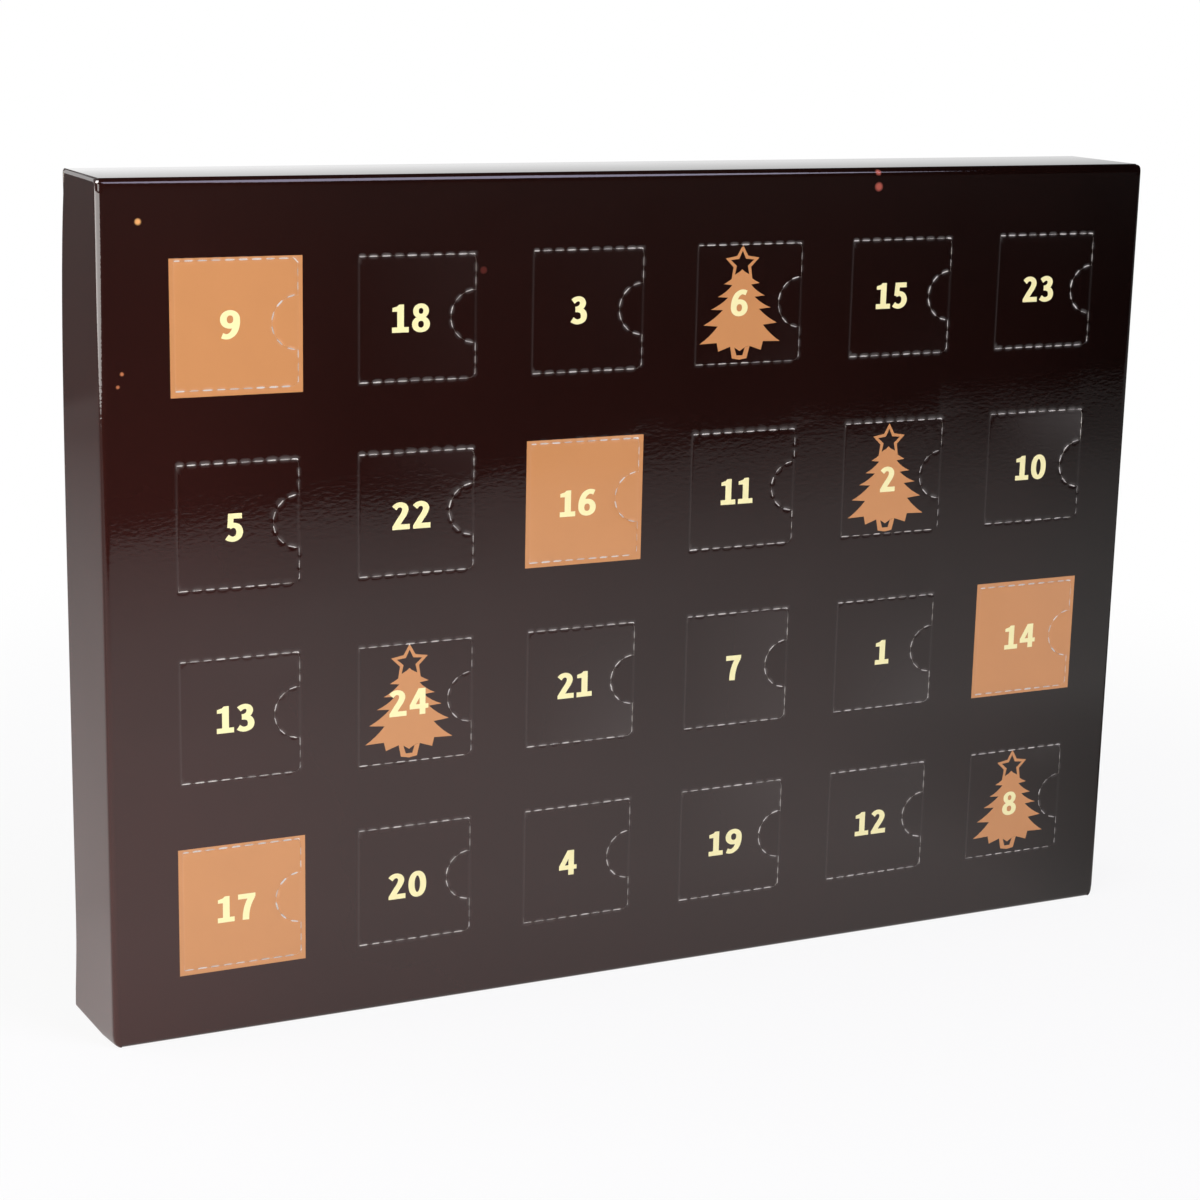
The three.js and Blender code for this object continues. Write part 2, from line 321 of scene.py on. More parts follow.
def between(first, second):
    """Quads from one closed loop of point numbers to the next one inside it, seen counterclockwise."""
    return np.stack([first, np.roll(first, -1), np.roll(second, -1), second], 1)


full_press = 0.16 * mm  # depth at which the film is fully stretched
raw_tear = 0.6  # how torn the raw side is at a cut, as a share of the print side


def plate(name, flat, depth, faces, outlines, torn):
    """A board parallel to the front: points in x and z with the print `depth` behind the front plane, the
    same points one board thickness further back, and a cut edge along each outline between the two.
    faces are pairs of (point numbers, look); outlines run with the board on their left."""
    count = len(flat)
    printed = np.stack([flat[:, 0], front_y + depth, flat[:, 1]], 1)
    backs = printed + (0, board, 0)
    parts = list(faces)
    parts += [(part[:, ::-1] + count, raw_board) for part, look in faces]
    for loop in outlines:
        ahead = np.roll(loop, -1)
        parts.append((np.stack([loop, loop + count, ahead + count, ahead], 1), cut_edge))
    stretched = np.clip(depth / full_press, 0, 1)
    return make_piece(name, np.concatenate([printed, backs]), parts, np.concatenate([torn, torn * raw_tear]),
                      np.concatenate([stretched, stretched]))


def fill(loops):
    """Flat triangles inside closed outlines in x and z. Returns the corners that had to be added where
    outlines cross, the triangles, numbered through the outlines' points first, and for each triangle the
    outlines round it."""
    flat = np.concatenate(loops) / mm
    ends = np.cumsum([len(loop) for loop in loops])
    faces = [list(range(end - len(loop), end)) for end, loop in zip(ends, loops)]
    spots, _, triangles, source, _, inside = delaunay_2d_cdt(flat.tolist(), [], faces, 1, 1e-5)
    spots = np.array([tuple(spot) for spot in spots]) * mm
    first = np.array([origin[0] if origin else -1 for origin in source])
    added = first < 0
    first[added] = len(flat) + np.arange(added.sum())
    return spots[added], first[np.array(triangles)], inside


# The front panel. One flat panel of the sheet with a window for each door; every window is cut on three
# sides by a row of short cuts, creased on its left, and the cuts' edges are pressed in by the die.
door_numbers = [[9, 18, 3, 6, 15, 23], [5, 22, 16, 11, 2, 10], [13, 24, 21, 7, 1, 14],
                [17, 20, 4, 19, 12, 8]]
tree_numbers = (6, 2, 24, 8)
fold_radius = 1.6 * mm  # between the front and the bottom
top_fold_radius = 2.4 * mm
fold_flat = 0.3 * mm  # flat strip of each folded panel beside the front panel
panel_half_width = 168.9 * mm
spring = 1.1 * mm  # the front is this much wider than its creases on each side
cut_pitch = 3.88 * mm
cut_length = 2.75 * mm
# Middles of the cuts: the first upper one and the start of the rest, from the crease; the lower ones, from
# the crease; those in the free edge, down from its top; the last upper one, from the crease or, where it
# turns the corner, from both of the corner's sides; and half the first and half the last upper one's length
first_cut, row_start = 0.95 * mm, 0.4 * mm
low_cuts = np.array([1.4, 5.4, 9.2, 13.1, 16.9, 20.8, 24.5, 28.3, 31.9]) * mm
edge_cuts = np.array([3.9, 7.7, 26.7, 30.4, 34.0]) * mm
last_cut, corner_cut = 34.4 * mm, 0.55 * mm
first_half, last_half = 0.9 * mm, 1.1 * mm
corner_radius = 2 * mm  # a door's two free corners
tab_radius = 7.6 * mm
gap_at_cut = 0.035 * mm
# Loops of points round a cut outline, by their distance from it, and how many points each side has
ring_steps = np.array([0.018, 0.11, 0.22, 0.42, 0.7, 1.1, 1.8]) * mm
long_count, corner_count, short_count, arc_count, chord_count, crease_count = 84, 5, 20, 58, 20, 18
# Pressed in at a cut, at least and at most, and the more along the windows' upper edges
least_press, most_press, upper_press = 0.05 * mm, 0.17 * mm, 0.04 * mm
# Places in a door's list of cuts, and shares of the usual: length in the free edge and round the tab, press
# and tear in the free edge, press of the cuts round a tree's door, tear of those round a square
upper_cuts, free_cuts, free_and_tab_cuts = slice(0, 10), slice(19, 24), slice(19, None)
free_and_tab_length, free_press, free_tear, tree_press, square_tear = 0.87, 0.5, 0.6, 0.15, 1.35
crease_depth = 0.028 * mm
crease_width = 0.4 * mm
door_side_width, tab_crease_share = 0.5, 0.6
pucker_width = 0.5 * mm
tear_width = 0.15 * mm
# How far the cuts sit below the print at each door, in mm
die_drop = {9: 0.0, 18: 0.15, 3: -0.1, 6: -0.3, 15: -0.5, 23: -0.8,
            5: 0.2, 22: 0.35, 16: 0.3, 11: 0.4, 2: 0.1, 10: -0.2,
            13: 0.2, 24: 0.9, 21: 0.9, 7: 0.95, 1: 1.0, 14: 0.7,
            17: 0.2, 20: 0.4, 4: 0.85, 19: 0.9, 12: 1.0, 8: 0.85}
# The one door whose last upper cut turns the corner
turned_cut = 9
chance = np.random.default_rng(24)


def side(start, end, count):
    """Points at even steps from start towards end; the end belongs to the next side."""
    return np.linspace(start, end, count, endpoint=False)


def arc(centre, radius, start, end, count):
    """Points at even angles round a centre in x and z, from the start angle towards the end angle."""
    angle = np.linspace(start, end, count, endpoint=False)
    return np.stack([centre[0] + radius * np.cos(angle), centre[1] + radius * np.sin(angle)], 1)


def window_outline(place, grow, crease_grow):
    """A window's outline moved outwards by grow; the two creases in it are moved by crease_grow."""
    left, right, bottom, top = place
    middle, radius = (bottom + top) / 2, corner_radius + grow
    low, high, far, chord = bottom - grow, top + grow, right + grow, right + crease_grow
    return np.concatenate([
        side((left - crease_grow, low), (far - radius, low), long_count),
        arc((far - radius, low + radius), radius, -math.pi / 2, 0, corner_count),
        side((far, low + radius), (far, middle - tab_radius), short_count),
        side((chord, middle - tab_radius), (chord, middle + tab_radius), chord_count),
        side((far, middle + tab_radius), (far, high - radius), short_count),
        arc((far - radius, high - radius), radius, 0, math.pi / 2, corner_count),
        side((far - radius, high), (left - crease_grow, high), long_count),
        side((left - crease_grow, high), (left - crease_grow, low), crease_count),
    ])


def cuts_round(number, place):
    """The short cuts round a door: middles and directions in x and z, half lengths, how far the panel's
    side, the door's side and the tab's side are pressed in at each, and how widely each is torn."""
    left, right, bottom, top = place
    middle = (bottom + top) / 2
    top_x = np.concatenate([[left + first_cut], left + row_start + cut_pitch * np.arange(1, 9)])
    angle = math.pi / 2 + math.pi * (np.arange(6) + 0.5) / 6
    level = np.zeros(9)
    last, last_way = (left + last_cut, top), (1, 0)
    if number == turned_cut:
        last, last_way = (right - corner_cut, top - corner_cut), (math.sqrt(0.5), -math.sqrt(0.5))
    centres = np.concatenate([
        np.stack([top_x, level + top], 1), [last],
        np.stack([left + low_cuts, level + bottom], 1),
        np.stack([np.full(5, right), top - edge_cuts], 1),
        np.stack([right + tab_radius * np.cos(angle), middle + tab_radius * np.sin(angle)], 1)])
    ways = np.concatenate([np.tile([1, 0], (9, 1)), [last_way], np.tile([1, 0], (9, 1)),
                           np.tile([0, 1], (5, 1)),
                           np.stack([-np.sin(angle), np.cos(angle)], 1)])
    halves = np.full(len(centres), cut_length / 2)
    halves[0] = first_half
    halves[9] = last_half
    halves *= chance.uniform(0.9, 1.05, len(centres))
    pressed = chance.uniform(least_press, most_press, (3, len(centres)))
    pressed[0, upper_cuts] += upper_press
    if number in tree_numbers:
        pressed[1] *= tree_press
    tears = chance.uniform(0.6, 1.2, len(centres))
    tears[free_cuts] *= free_tear
    if number in square_numbers:
        tears *= square_tear
    halves[free_and_tab_cuts] *= free_and_tab_length
    pressed[:, free_cuts] *= free_press
    return centres, ways, halves, pressed, tears


def along_and_across(spots, cuts):
    """How far each point lies along each cut, in half lengths, and across it, in metres."""
    centres, ways, halves = cuts[:3]
    offset = spots[:, None] - centres
    along = (offset * ways).sum(-1) / halves
    across = offset[..., 0] * ways[:, 1] - offset[..., 1] * ways[:, 0]
    return along, across


def pressed_in(spots, cuts, which):
    """Depth of the print: over all cuts, pressed * exp(-along^4) * exp(-(across / pucker width)^2)."""
    along, across = along_and_across(spots, cuts)
    return (cuts[3][which] * np.exp(-along ** 4 - (across / pucker_width) ** 2)).sum(1)


def torn_at(spots, cuts):
    """1 on a cut, falling off past its ends as exp(-along^6) and across as exp(-(across / its tear)^2)."""
    along, across = along_and_across(spots, cuts)
    return np.exp(-along ** 6 - (across / (tear_width * cuts[4])) ** 2).max(1)


def groove(spots, place):
    """Depth of the door's crease on the left, steeper on the door's side, and of the tab's crease."""
    left, right, bottom, top = place
    away = np.abs(spots[:, 1] - (bottom + top) / 2)
    past_door = np.maximum(away - (top - bottom) / 2, 0) / crease_width
    past_tab = np.maximum(away - tab_radius, 0) / crease_width
    beside = spots[:, 0] - left
    reach = np.where(beside > 0, door_side_width * crease_width, crease_width)
    door_crease = np.exp(-(beside / reach) ** 2 - past_door ** 2)
    tab_crease = tab_crease_share * np.exp(-((spots[:, 0] - right) / crease_width) ** 2 - past_tab ** 2)
    return crease_depth * (door_crease + tab_crease)


def ringed(outline, place, cuts, steps):
    """Loops of points side by side, one for each step away from the cut, and the quads between them.
    The first loop opens a little along every cut."""
    loops = [outline(place, step, step if i else 0) for i, step in enumerate(steps)]
    away = loops[1] - loops[0]
    opening = torn_at(loops[0], cuts)[:, None] * gap_at_cut
    loops[0] = loops[0] + opening * away / np.linalg.norm(away, axis=1)[:, None]
    return loops, np.arange(len(loops) * len(loops[0])).reshape(len(loops), -1)


places = {n: tuple(np.array(door_frame(n)) - np.array((0, 0, 1, 1)) * die_drop[n] * mm)
          for row in door_numbers for n in row}
cuts_of = {n: cuts_round(n, places[n]) for n in places}
flat, depth, torn, quads, windows, outer_loops, outer_numbers = [], [], [], [], [], [], []
total = 0
for n, door_place in places.items():
    loops, numbers = ringed(window_outline, door_place, cuts_of[n], ring_steps)
    spots = np.concatenate(loops)
    flat.append(spots)
    depth.append(pressed_in(spots, cuts_of[n], 0) + groove(spots, door_place))
    torn.append(torn_at(spots, cuts_of[n]))
    quads += [between(numbers[i + 1] + total, numbers[i] + total) for i in range(len(loops) - 1)]
    windows.append(numbers[0][::-1] + total)
    outer_loops.append(loops[-1])
    outer_numbers.append(numbers[-1] + total)
    total += len(spots)
low_z, high_z = fold_radius + fold_flat, carton_high.z - top_fold_radius - fold_flat
border = np.concatenate([
    side((-panel_half_width, low_z), (panel_half_width, low_z), 34),
    side((panel_half_width, low_z), (panel_half_width, high_z), 25),
    side((panel_half_width, high_z), (-panel_half_width, high_z), 34),
    side((-panel_half_width, high_z), (-panel_half_width, low_z), 25)])
added, triangles, inside = fill([border] + outer_loops)
numbers = np.concatenate([total + np.arange(len(border))] + outer_numbers)
triangles = numbers[triangles[[group == [0] for group in inside]]]
flat = np.concatenate(flat + [border])
depth = np.concatenate(depth + [np.zeros(len(border))])
torn = np.concatenate(torn + [np.zeros(len(border))])
front_sheet = plate("front_sheet", flat, depth, [(np.concatenate(quads), chocolate_print),
                                                 (triangles, chocolate_print)],
                    windows + [total + np.arange(len(border))], torn)
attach(front_sheet, "root")
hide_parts("front_panel")

# The doors. Each is a square of the same sheet that stays joined along the crease on its left and swings
# out; a cream number is printed in it, and on four of them a copper fir tree with an open star.
numeral_size = np.array((8.45, 7.95)) * mm  # one unit along and one unit up
numeral_gap = 0.11
# The middle of each number from the middle of its door, along and up, in mm
numeral_places = {1: (-0.6, -0.7), 2: (-1.6, -0.6), 3: (-3.0, 0.3), 4: (-3.1, -1.1), 5: (-1.3, -0.7),
                  6: (-3.4, 0.7), 7: (-1.1, -0.7), 8: (-1.5, -1.5), 9: (-1.9, 0.0), 10: (-1.1, -0.1),
                  11: (-2.0, -0.9), 12: (-1.9, -1.6), 13: (-1.5, -0.2), 14: (-1.3, -0.3), 15: (-3.3, 1.1),
                  16: (-2.2, -0.9), 17: (-1.8, -1.0), 18: (-2.1, -0.1), 19: (-1.8, -1.5), 20: (-2.4, -1.2),
                  21: (-2.0, -0.8), 22: (-1.7, -1.0), 23: (-2.3, 1.4), 24: (-2.2, -0.8)}
stem, bar = 0.232, 0.185
# A door's slopes off the panel, at most, and the share of them that each row has
most_lean, most_twist = 0.002, 0.005
row_shares = (0.08, 1, 0.35, 0.35)


def smooth_line(*knots):
    """A smooth line through the knots (Catmull-Rom spline), with even steps between each pair."""
    knots = np.array(knots, float)
    ends = np.concatenate([[2 * knots[0] - knots[1]], knots, [2 * knots[-1] - knots[-2]]])
    t = np.linspace(0, 1, 5)[:-1, None]
    runs = []
    for a, b, c, d in zip(ends, ends[1:], ends[2:], ends[3:]):
        runs.append(0.5 * (2 * b + (c - a) * t + (2 * a - 5 * b + 4 * c - d) * t ** 2
                           + (3 * b - a - 3 * c + d) * t ** 3))
    return np.concatenate(runs + [knots[-1:]])


def stroke(line, stem=stem, bar=bar, closed=False):
    """The quads of a pen stroke along a line: its width is stem where it runs upright and bar where it
    runs level, sqrt((stem * up)^2 + (bar * along)^2) in between."""
    if closed:
        ways = np.roll(line, -1, 0) - np.roll(line, 1, 0)
    else:
        ways = np.gradient(line, axis=0)
    ways = ways / np.linalg.norm(ways, axis=1)[:, None]
    half = np.hypot(stem * ways[:, 1], bar * ways[:, 0])[:, None] / 2
    normal = np.stack([-ways[:, 1], ways[:, 0]], 1)
    over, under = line + normal * half, line - normal * half
    if closed:
        over, under = np.concatenate([over, over[:1]]), np.concatenate([under, under[:1]])
    return list(np.stack([under[:-1], under[1:], over[1:], over[:-1]], 1))


def oval(centre, half_width, half_height, power=2.2, count=28):
    """A superellipse: x and y are the cosine and sine of the angle to the power 2 / power."""
    angle = np.linspace(0, 2 * math.pi, count, endpoint=False)
    c, s = np.cos(angle), np.sin(angle)
    return np.stack([centre[0] + half_width * np.sign(c) * np.abs(c) ** (2 / power),
                     centre[1] + half_height * np.sign(s) * np.abs(s) ** (2 / power)], 1)


def block(*corners):
    """One straight-sided part of a numeral."""
    return [np.array(corners, float)]


nine = (stroke(oval((0.335, 0.69), 0.225, 0.230, 2.1), closed=True)
        + stroke(smooth_line((0.56, 0.70), (0.557, 0.55), (0.52, 0.37), (0.43, 0.20), (0.29, 0.103),
                             (0.17, 0.095), (0.06, 0.135))))
# Numerals of height 1, each with its width
numerals = {
    "0": (0.67, stroke(oval((0.335, 0.5), 0.222, 0.42), closed=True)),
    "1": (0.60, block((0, 0), (0.6, 0), (0.6, 0.19), (0.425, 0.19), (0.425, 1), (0.25, 1), (0.185, 0.935),
                      (0.01, 0.885), (0.01, 0.75), (0.185, 0.75), (0.185, 0.19), (0, 0.19))),
    "2": (0.65, stroke(smooth_line((0.075, 0.80), (0.17, 0.89), (0.30, 0.922), (0.43, 0.865), (0.48, 0.73),
                                   (0.42, 0.56), (0.29, 0.365), (0.105, 0.07)))
          + block((0.01, 0), (0.645, 0), (0.645, 0.195), (0.15, 0.195), (0.007, 0.132))),
    "3": (0.63, stroke(smooth_line((0.07, 0.83), (0.17, 0.90), (0.285, 0.924), (0.40, 0.88), (0.452, 0.765),
                                   (0.40, 0.635), (0.28, 0.56), (0.17, 0.545)))
          + stroke(smooth_line((0.17, 0.53), (0.30, 0.52), (0.44, 0.45), (0.498, 0.29), (0.44, 0.14),
                               (0.28, 0.077), (0.15, 0.10), (0.045, 0.165)))),
    "4": (0.70, block((0.37, 0), (0.59, 0), (0.59, 1), (0.37, 1))
          + block((0, 0.22), (0.70, 0.22), (0.70, 0.395), (0, 0.395))
          + block((0, 0.38), (0.22, 0.38), (0.375, 0.66), (0.375, 1), (0.33, 1))),
    "5": (0.62, block((0.085, 0.81), (0.57, 0.81), (0.57, 1), (0.095, 1))
          + block((0.06, 0.50), (0.20, 0.47), (0.27, 0.60), (0.28, 0.85), (0.085, 0.85))
          + stroke(smooth_line((0.13, 0.535), (0.27, 0.575), (0.42, 0.51), (0.49, 0.34), (0.43, 0.16),
                               (0.28, 0.077), (0.14, 0.10), (0.045, 0.165)))),
    "7": (0.66, block((0.02, 0.805), (0.60, 0.805), (0.64, 0.88), (0.64, 1), (0.02, 1))
          + stroke(smooth_line((0.525, 0.88), (0.43, 0.70), (0.35, 0.48), (0.305, 0.25), (0.29, 0.0)),
                   0.235, 0.2)),
    "8": (0.66, stroke(oval((0.33, 0.748), 0.185, 0.187, 2.1), 0.205, 0.16, True)
          + stroke(oval((0.33, 0.272), 0.214, 0.205, 2.1), 0.222, 0.165, True)),
    "9": (0.68, nine),
    "6": (0.68, [np.array((0.68, 1.0)) - part for part in nine]),
}


def number_outlines(number, middle):
    """The outlines of a door's number, centred on the middle."""
    digits = [numerals[digit] for digit in str(number)]
    width = sum(digit[0] for digit in digits) + numeral_gap * (len(digits) - 1)
    outlines, pen = [], -width / 2
    for digit_width, parts in digits:
        outlines += [(part + (pen, -0.5)) * numeral_size + middle for part in parts]
        pen += digit_width + numeral_gap
    return outlines


# The fir tree, in millimetres from the door's top edge and from the tree's own middle line
tree_middle = 0.470
tier_tips = ((5.9, 10.8), (7.8, 14.7), (9.9, 18.5), (12.2, 23.3), (13.4, 29.1))
tier_notches = ((3.1, 11.2), (4.4, 15.0), (6.0, 18.8), (7.5, 23.8), (7.7, 28.9))
tree_apex = 6.4
tree_foot = ((7.1, 31.6), (3.2, 30.2), (1.8, 30.5), (0, 31.7))
tier_sag, sag_way = 0.35, (-0.5, 0.8)
pot = ((-3.2, 30.2), (-2.5, 33.9), (0.0, 34.4), (2.4, 34.0), (3.3, 30.2), (1.7, 30.6), (1.0, 33.05),
       (-1.0, 33.05), (-1.8, 30.4))
star_middle, star_radius, star_waist = 4.75, 4.95, 2.5
tip_pen, waist_pen = 0.9, 0.57  # half the star's line, along its rays


def turns_left(shape):
    """Whether an outline runs counterclockwise: half the sum of x * next z - next x * z is its area."""
    following = np.roll(shape, -1, 0)
    return (shape[:, 0] * following[:, 1] - following[:, 0] * shape[:, 1]).sum() > 0


tree_scale, tree_bottom = (1.03, -0.975), 34.0  # the second is the level in mm that the scale leaves in place
# How far each tree is printed from the usual place, along and up, in mm
tree_shifts = {6: (-1.7, 0.0), 2: (-0.8, -0.8), 24: (-1.0, -1.1), 8: (-0.4, -0.95)}


def tree_outlines(place, shift):
    """The tree's body, pot and open star. Each tier's upper edge sags between its notch and its tip."""
    left, right, bottom, top = place
    starts = ((0.0, tree_apex),) + tier_notches[:-1]
    t = np.linspace(0, 1, 5)[:-1, None]
    half = []
    for start, tip, notch in zip(starts, tier_tips, tier_notches):
        start, tip = np.array(start), np.array(tip)
        half += [start + (tip - start) * t + tier_sag * (t * (1 - t) * 4) * sag_way, [tip], [notch]]
    half = np.concatenate(half + [tree_foot])
    body = np.concatenate([half, half[1:-1][::-1] * (-1, 1)])
    angle = math.pi / 2 + np.arange(10) * math.pi / 5
    at_tip = (np.arange(10) % 2 == 0)[:, None]
    reach, pen = np.where(at_tip, star_radius, star_waist), np.where(at_tip, tip_pen, waist_pen)
    way = np.stack([np.cos(angle), -np.sin(angle)], 1)
    outer, inner = way * (reach + pen) + (0, star_middle), way * (reach - pen) + (0, star_middle)
    star = np.stack([outer, np.roll(outer, -1, 0), np.roll(inner, -1, 0), inner], 1)
    origin = np.array((left + tree_middle * (right - left), top)) + np.array(shift) * mm
    shapes = [origin + ((shape - (0, tree_bottom)) * tree_scale - (0, tree_bottom)) * mm
              for shape in [body, np.array(pot)] + list(star)]
    return [shape if turns_left(shape) else shape[::-1] for shape in shapes]


def door_outline(place, shrink, crease_shrink):
    """A door's outline moved inwards by shrink; the crease on its left is moved by crease_shrink."""
    left, right, bottom, top = place
    middle, radius = (bottom + top) / 2, corner_radius - shrink
    low, high, far, near = bottom + shrink, top - shrink, right - shrink, left + crease_shrink
    notch = tab_radius + shrink
    turn = math.acos(-shrink / notch)
    rise = notch * math.sin(turn)
    return np.concatenate([
        side((near, low), (far - radius, low), long_count),
        arc((far - radius, low + radius), radius, -math.pi / 2, 0, corner_count),
        side((far, low + radius), (far, middle - rise), short_count),
        arc((right, middle), notch, -turn, turn - 2 * math.pi, arc_count),
        side((far, middle + rise), (far, high - radius), short_count),
        arc((far - radius, high - radius), radius, 0, math.pi / 2, corner_count),
        side((far - radius, high), (near, high), long_count),
        side((near, high), (near, low), crease_count),
    ])


for n, door_place in places.items():
    left, right, bottom, top = door_place
    cuts = cuts_of[n]
    steps = ring_steps[:5] if n in tree_numbers else ring_steps
    loops, numbers = ringed(door_outline, door_place, cuts, steps)
    print_left, print_right, print_bottom, print_top = printed_place = door_frame(n)
    middle = np.array(((print_left + print_right) / 2, (print_bottom + print_top) / 2))
    middle = middle + np.array(numeral_places[n]) * mm
    pictures = tree_outlines(printed_place, tree_shifts[n]) if n in tree_numbers else []
    digits = number_outlines(n, middle)
    added, triangles, inside = fill([loops[-1]] + pictures + digits)
    ring_total, rim = numbers.size, len(loops[-1])
    picture_points = np.concatenate(pictures + digits)
    renumber = np.concatenate([numbers[-1], ring_total + np.arange(len(picture_points) + len(added))])
    spots = np.concatenate(loops + [picture_points, added])
    triangles = renumber[triangles]
    topmost = np.array([max(group, default=0) for group in inside])
    looks = [(triangles[topmost == 0], chocolate_print),
             (triangles[(topmost > 0) & (topmost <= len(pictures))], copper_ink),
             (triangles[topmost > len(pictures)], cream_ink)]
    rings = np.concatenate([between(numbers[i], numbers[i + 1]) for i in range(len(loops) - 1)])
    faces = [(rings, chocolate_print)] + [(part, look) for part, look in looks if len(part)]
    row_share = next(part for part, row in zip(row_shares, door_numbers) if n in row)
    lean = row_share * chance.uniform(-most_lean, most_lean)
    twist = row_share * chance.uniform(-most_twist, most_twist)
    reach = spots[:, 0] - left
    turned = reach * (lean + twist * (spots[:, 1] - middle[1]) / (top - bottom))
    sunk = pressed_in(spots, cuts, 1) + groove(spots, door_place) - turned
    leaf = plate(f"door_leaf_{n:02d}", spots, sunk, faces, [numbers[0]], torn_at(spots, cuts))
    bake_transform(leaf)
    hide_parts(f"door_{n:02d}")

# The thumb tabs. Each is a half-moon of the same sheet in its door's free edge, creased along the line of
# that edge; a finger pushes it in to get hold of the door.
tab_steps = np.append(ring_steps, [2.6 * mm])


def tab_outline(place, shrink, crease_shrink):
    """A tab's outline moved inwards by shrink; its crease on the right is moved by crease_shrink."""
    left, right, bottom, top = place
    middle, radius, far = (bottom + top) / 2, tab_radius - shrink, right - crease_shrink
    turn = math.acos(-crease_shrink / radius)
    rise = radius * math.sin(turn)
    return np.concatenate([
        side((far, middle - rise), (far, middle + rise), chord_count),
        arc((right, middle), radius, turn, 2 * math.pi - turn, arc_count),
    ])


for n, door_place in places.items():
    left, right, bottom, top = door_place
    loops, numbers = ringed(tab_outline, door_place, cuts_of[n], tab_steps)
    added, triangles, inside = fill([loops[-1]])
    spots = np.concatenate(loops)
    faces = [(np.concatenate([between(numbers[i], numbers[i + 1]) for i in range(len(loops) - 1)]),
              chocolate_print), (numbers[-1][triangles], chocolate_print)]
    sunk = pressed_in(spots, cuts_of[n], 2) + groove(spots, door_place)
    tab = plate(f"tab_leaf_{n:02d}", spots, sunk, faces, [numbers[0]], torn_at(spots, cuts_of[n]))
    middle = (bottom + top) / 2
    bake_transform(tab)
    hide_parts(f"thumb_tab_{n:02d}")


# The top, back and bottom panels. They follow the front panel round the carton as one strip, folded along
# four long creases; the print is on the outside and the sheet's cut ends show at both ends of the carton.
back_fold_radius = 1.3 * mm
top_half_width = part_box("carton_shell")[1].x - 0.3 * mm
back_half_width = carton_high.x
fold_count = 9
rolled_part = 0.8  # how much of a quarter turn an end rolls in: the sine of its angle
widening = 2 * mm  # depth over which the strip widens behind the front
chip_in, chip_down, chip_size = -0.3 * mm, 0.9 * mm, 0.45 * mm


def turn_points(centre, radius, start, end, count=fold_count):
    """Points of a fold, both ends included; angles in degrees."""
    angle = np.radians(np.linspace(start, end, count))
    return np.stack([centre[0] + radius * np.cos(angle), centre[1] + radius * np.sin(angle)], 1)


def folded_board(name, line, inward, axis, centre, half_width, columns, outer_look, edge_look=cut_edge,
                 rolled=0, shaped=None, torn=None):
    """A board carried along a line: the print follows the line, the raw side lies one board thickness
    along `inward`, and each point of the line is stretched along the axis to its own half width. Both
    ends roll inwards by radius * (1 - cosine of their angle), up to 53 degrees."""
    count, width = len(line), len(columns)
    spread = (centre + half_width[:, None] * columns)[..., None] * axis
    past = np.clip(1 - half_width[:, None] * (1 - np.abs(columns)) / max(rolled, 1e-9), 0, 1) * rolled_part
    spread = spread + (rolled * (1 - np.sqrt(1 - past ** 2)))[..., None] * inward[:, None]
    printed = (line[:, None] + spread).reshape(-1, 3)
    raw = ((line + inward * board)[:, None] + spread).reshape(-1, 3)
    grid = np.arange(count * width).reshape(count, width)
    quads = np.stack([grid[:-1, :-1], grid[1:, :-1], grid[1:, 1:], grid[:-1, 1:]], -1).reshape(-1, 4)
    rim = np.concatenate([grid[:-1, 0], grid[-1, :-1], grid[:0:-1, -1], grid[0, :0:-1]])
    if (np.cross(line[1] - line[0], axis) * inward[0]).sum() > 0:
        quads, rim = quads[:, ::-1], rim[::-1]
    ahead = np.roll(rim, -1)
    walls = np.stack([rim, rim + grid.size, ahead + grid.size, ahead], 1)
    points = np.concatenate([printed, raw])
    if shaped is not None:
        points = shaped(points)
    return make_piece(name, points, [(quads, outer_look), (quads[:, ::-1] + grid.size, raw_board),
                                     (walls, edge_look)], None if torn is None else torn(points))


def inward_of(line, flip=1):
    """Unit normals of a line in a plane: its direction turned by a quarter, averaged at each point."""
    ways = np.gradient(line, axis=0)
    ways = ways / np.linalg.norm(ways, axis=1)[:, None]
    return flip * np.stack([-ways[:, 1], ways[:, 0]], 1)


high, low, deep = carton_high.z, carton_low.z, carton_high.y
r, b, t = fold_radius, back_fold_radius, top_fold_radius
profile = np.concatenate([
    [[front_y, high - t - fold_flat]],
    turn_points((front_y + t, high - t), t, 180, 90),
    [[0, high]],
    turn_points((deep - b, high - b), b, 90, 0),
    [[deep, (high + low) / 2]],
    turn_points((deep - b, low + b), b, 0, -90),
    [[0, low]],
    turn_points((front_y + r, low + r), r, 270, 180),
    [[front_y, low + r + fold_flat]]])
normal = inward_of(profile, -1)
for flat_row, value in ((0, (1, 0)), (1, (1, 0)), (-1, (1, 0)), (-2, (1, 0))):
    normal[flat_row] = value
line = np.stack([np.zeros(len(profile)), profile[:, 0], profile[:, 1]], 1)
inward = np.stack([np.zeros(len(profile)), normal[:, 0], normal[:, 1]], 1)
fold_share = np.clip((profile[:, 0] - front_y) / widening, 0, 1)
back_share = np.clip((profile[:, 0] - deep + back_fold_radius) / back_fold_radius, 0, 1)
half_width = (panel_half_width + (top_half_width - panel_half_width) * fold_share
              + (back_half_width - top_half_width) * back_share)
end_steps = 1 - np.array([0, 0.0008, 0.0018, 0.0035, 0.0055, 0.008, 0.014, 0.03])


def worn_corner(points):
    """The film is chipped off the board at the front's upper left corner."""
    corner = np.array((carton_low.x + chip_in, front_y + chip_down, carton_high.z - chip_down))
    return np.exp(-((points - corner) ** 2).sum(1) / chip_size ** 2)


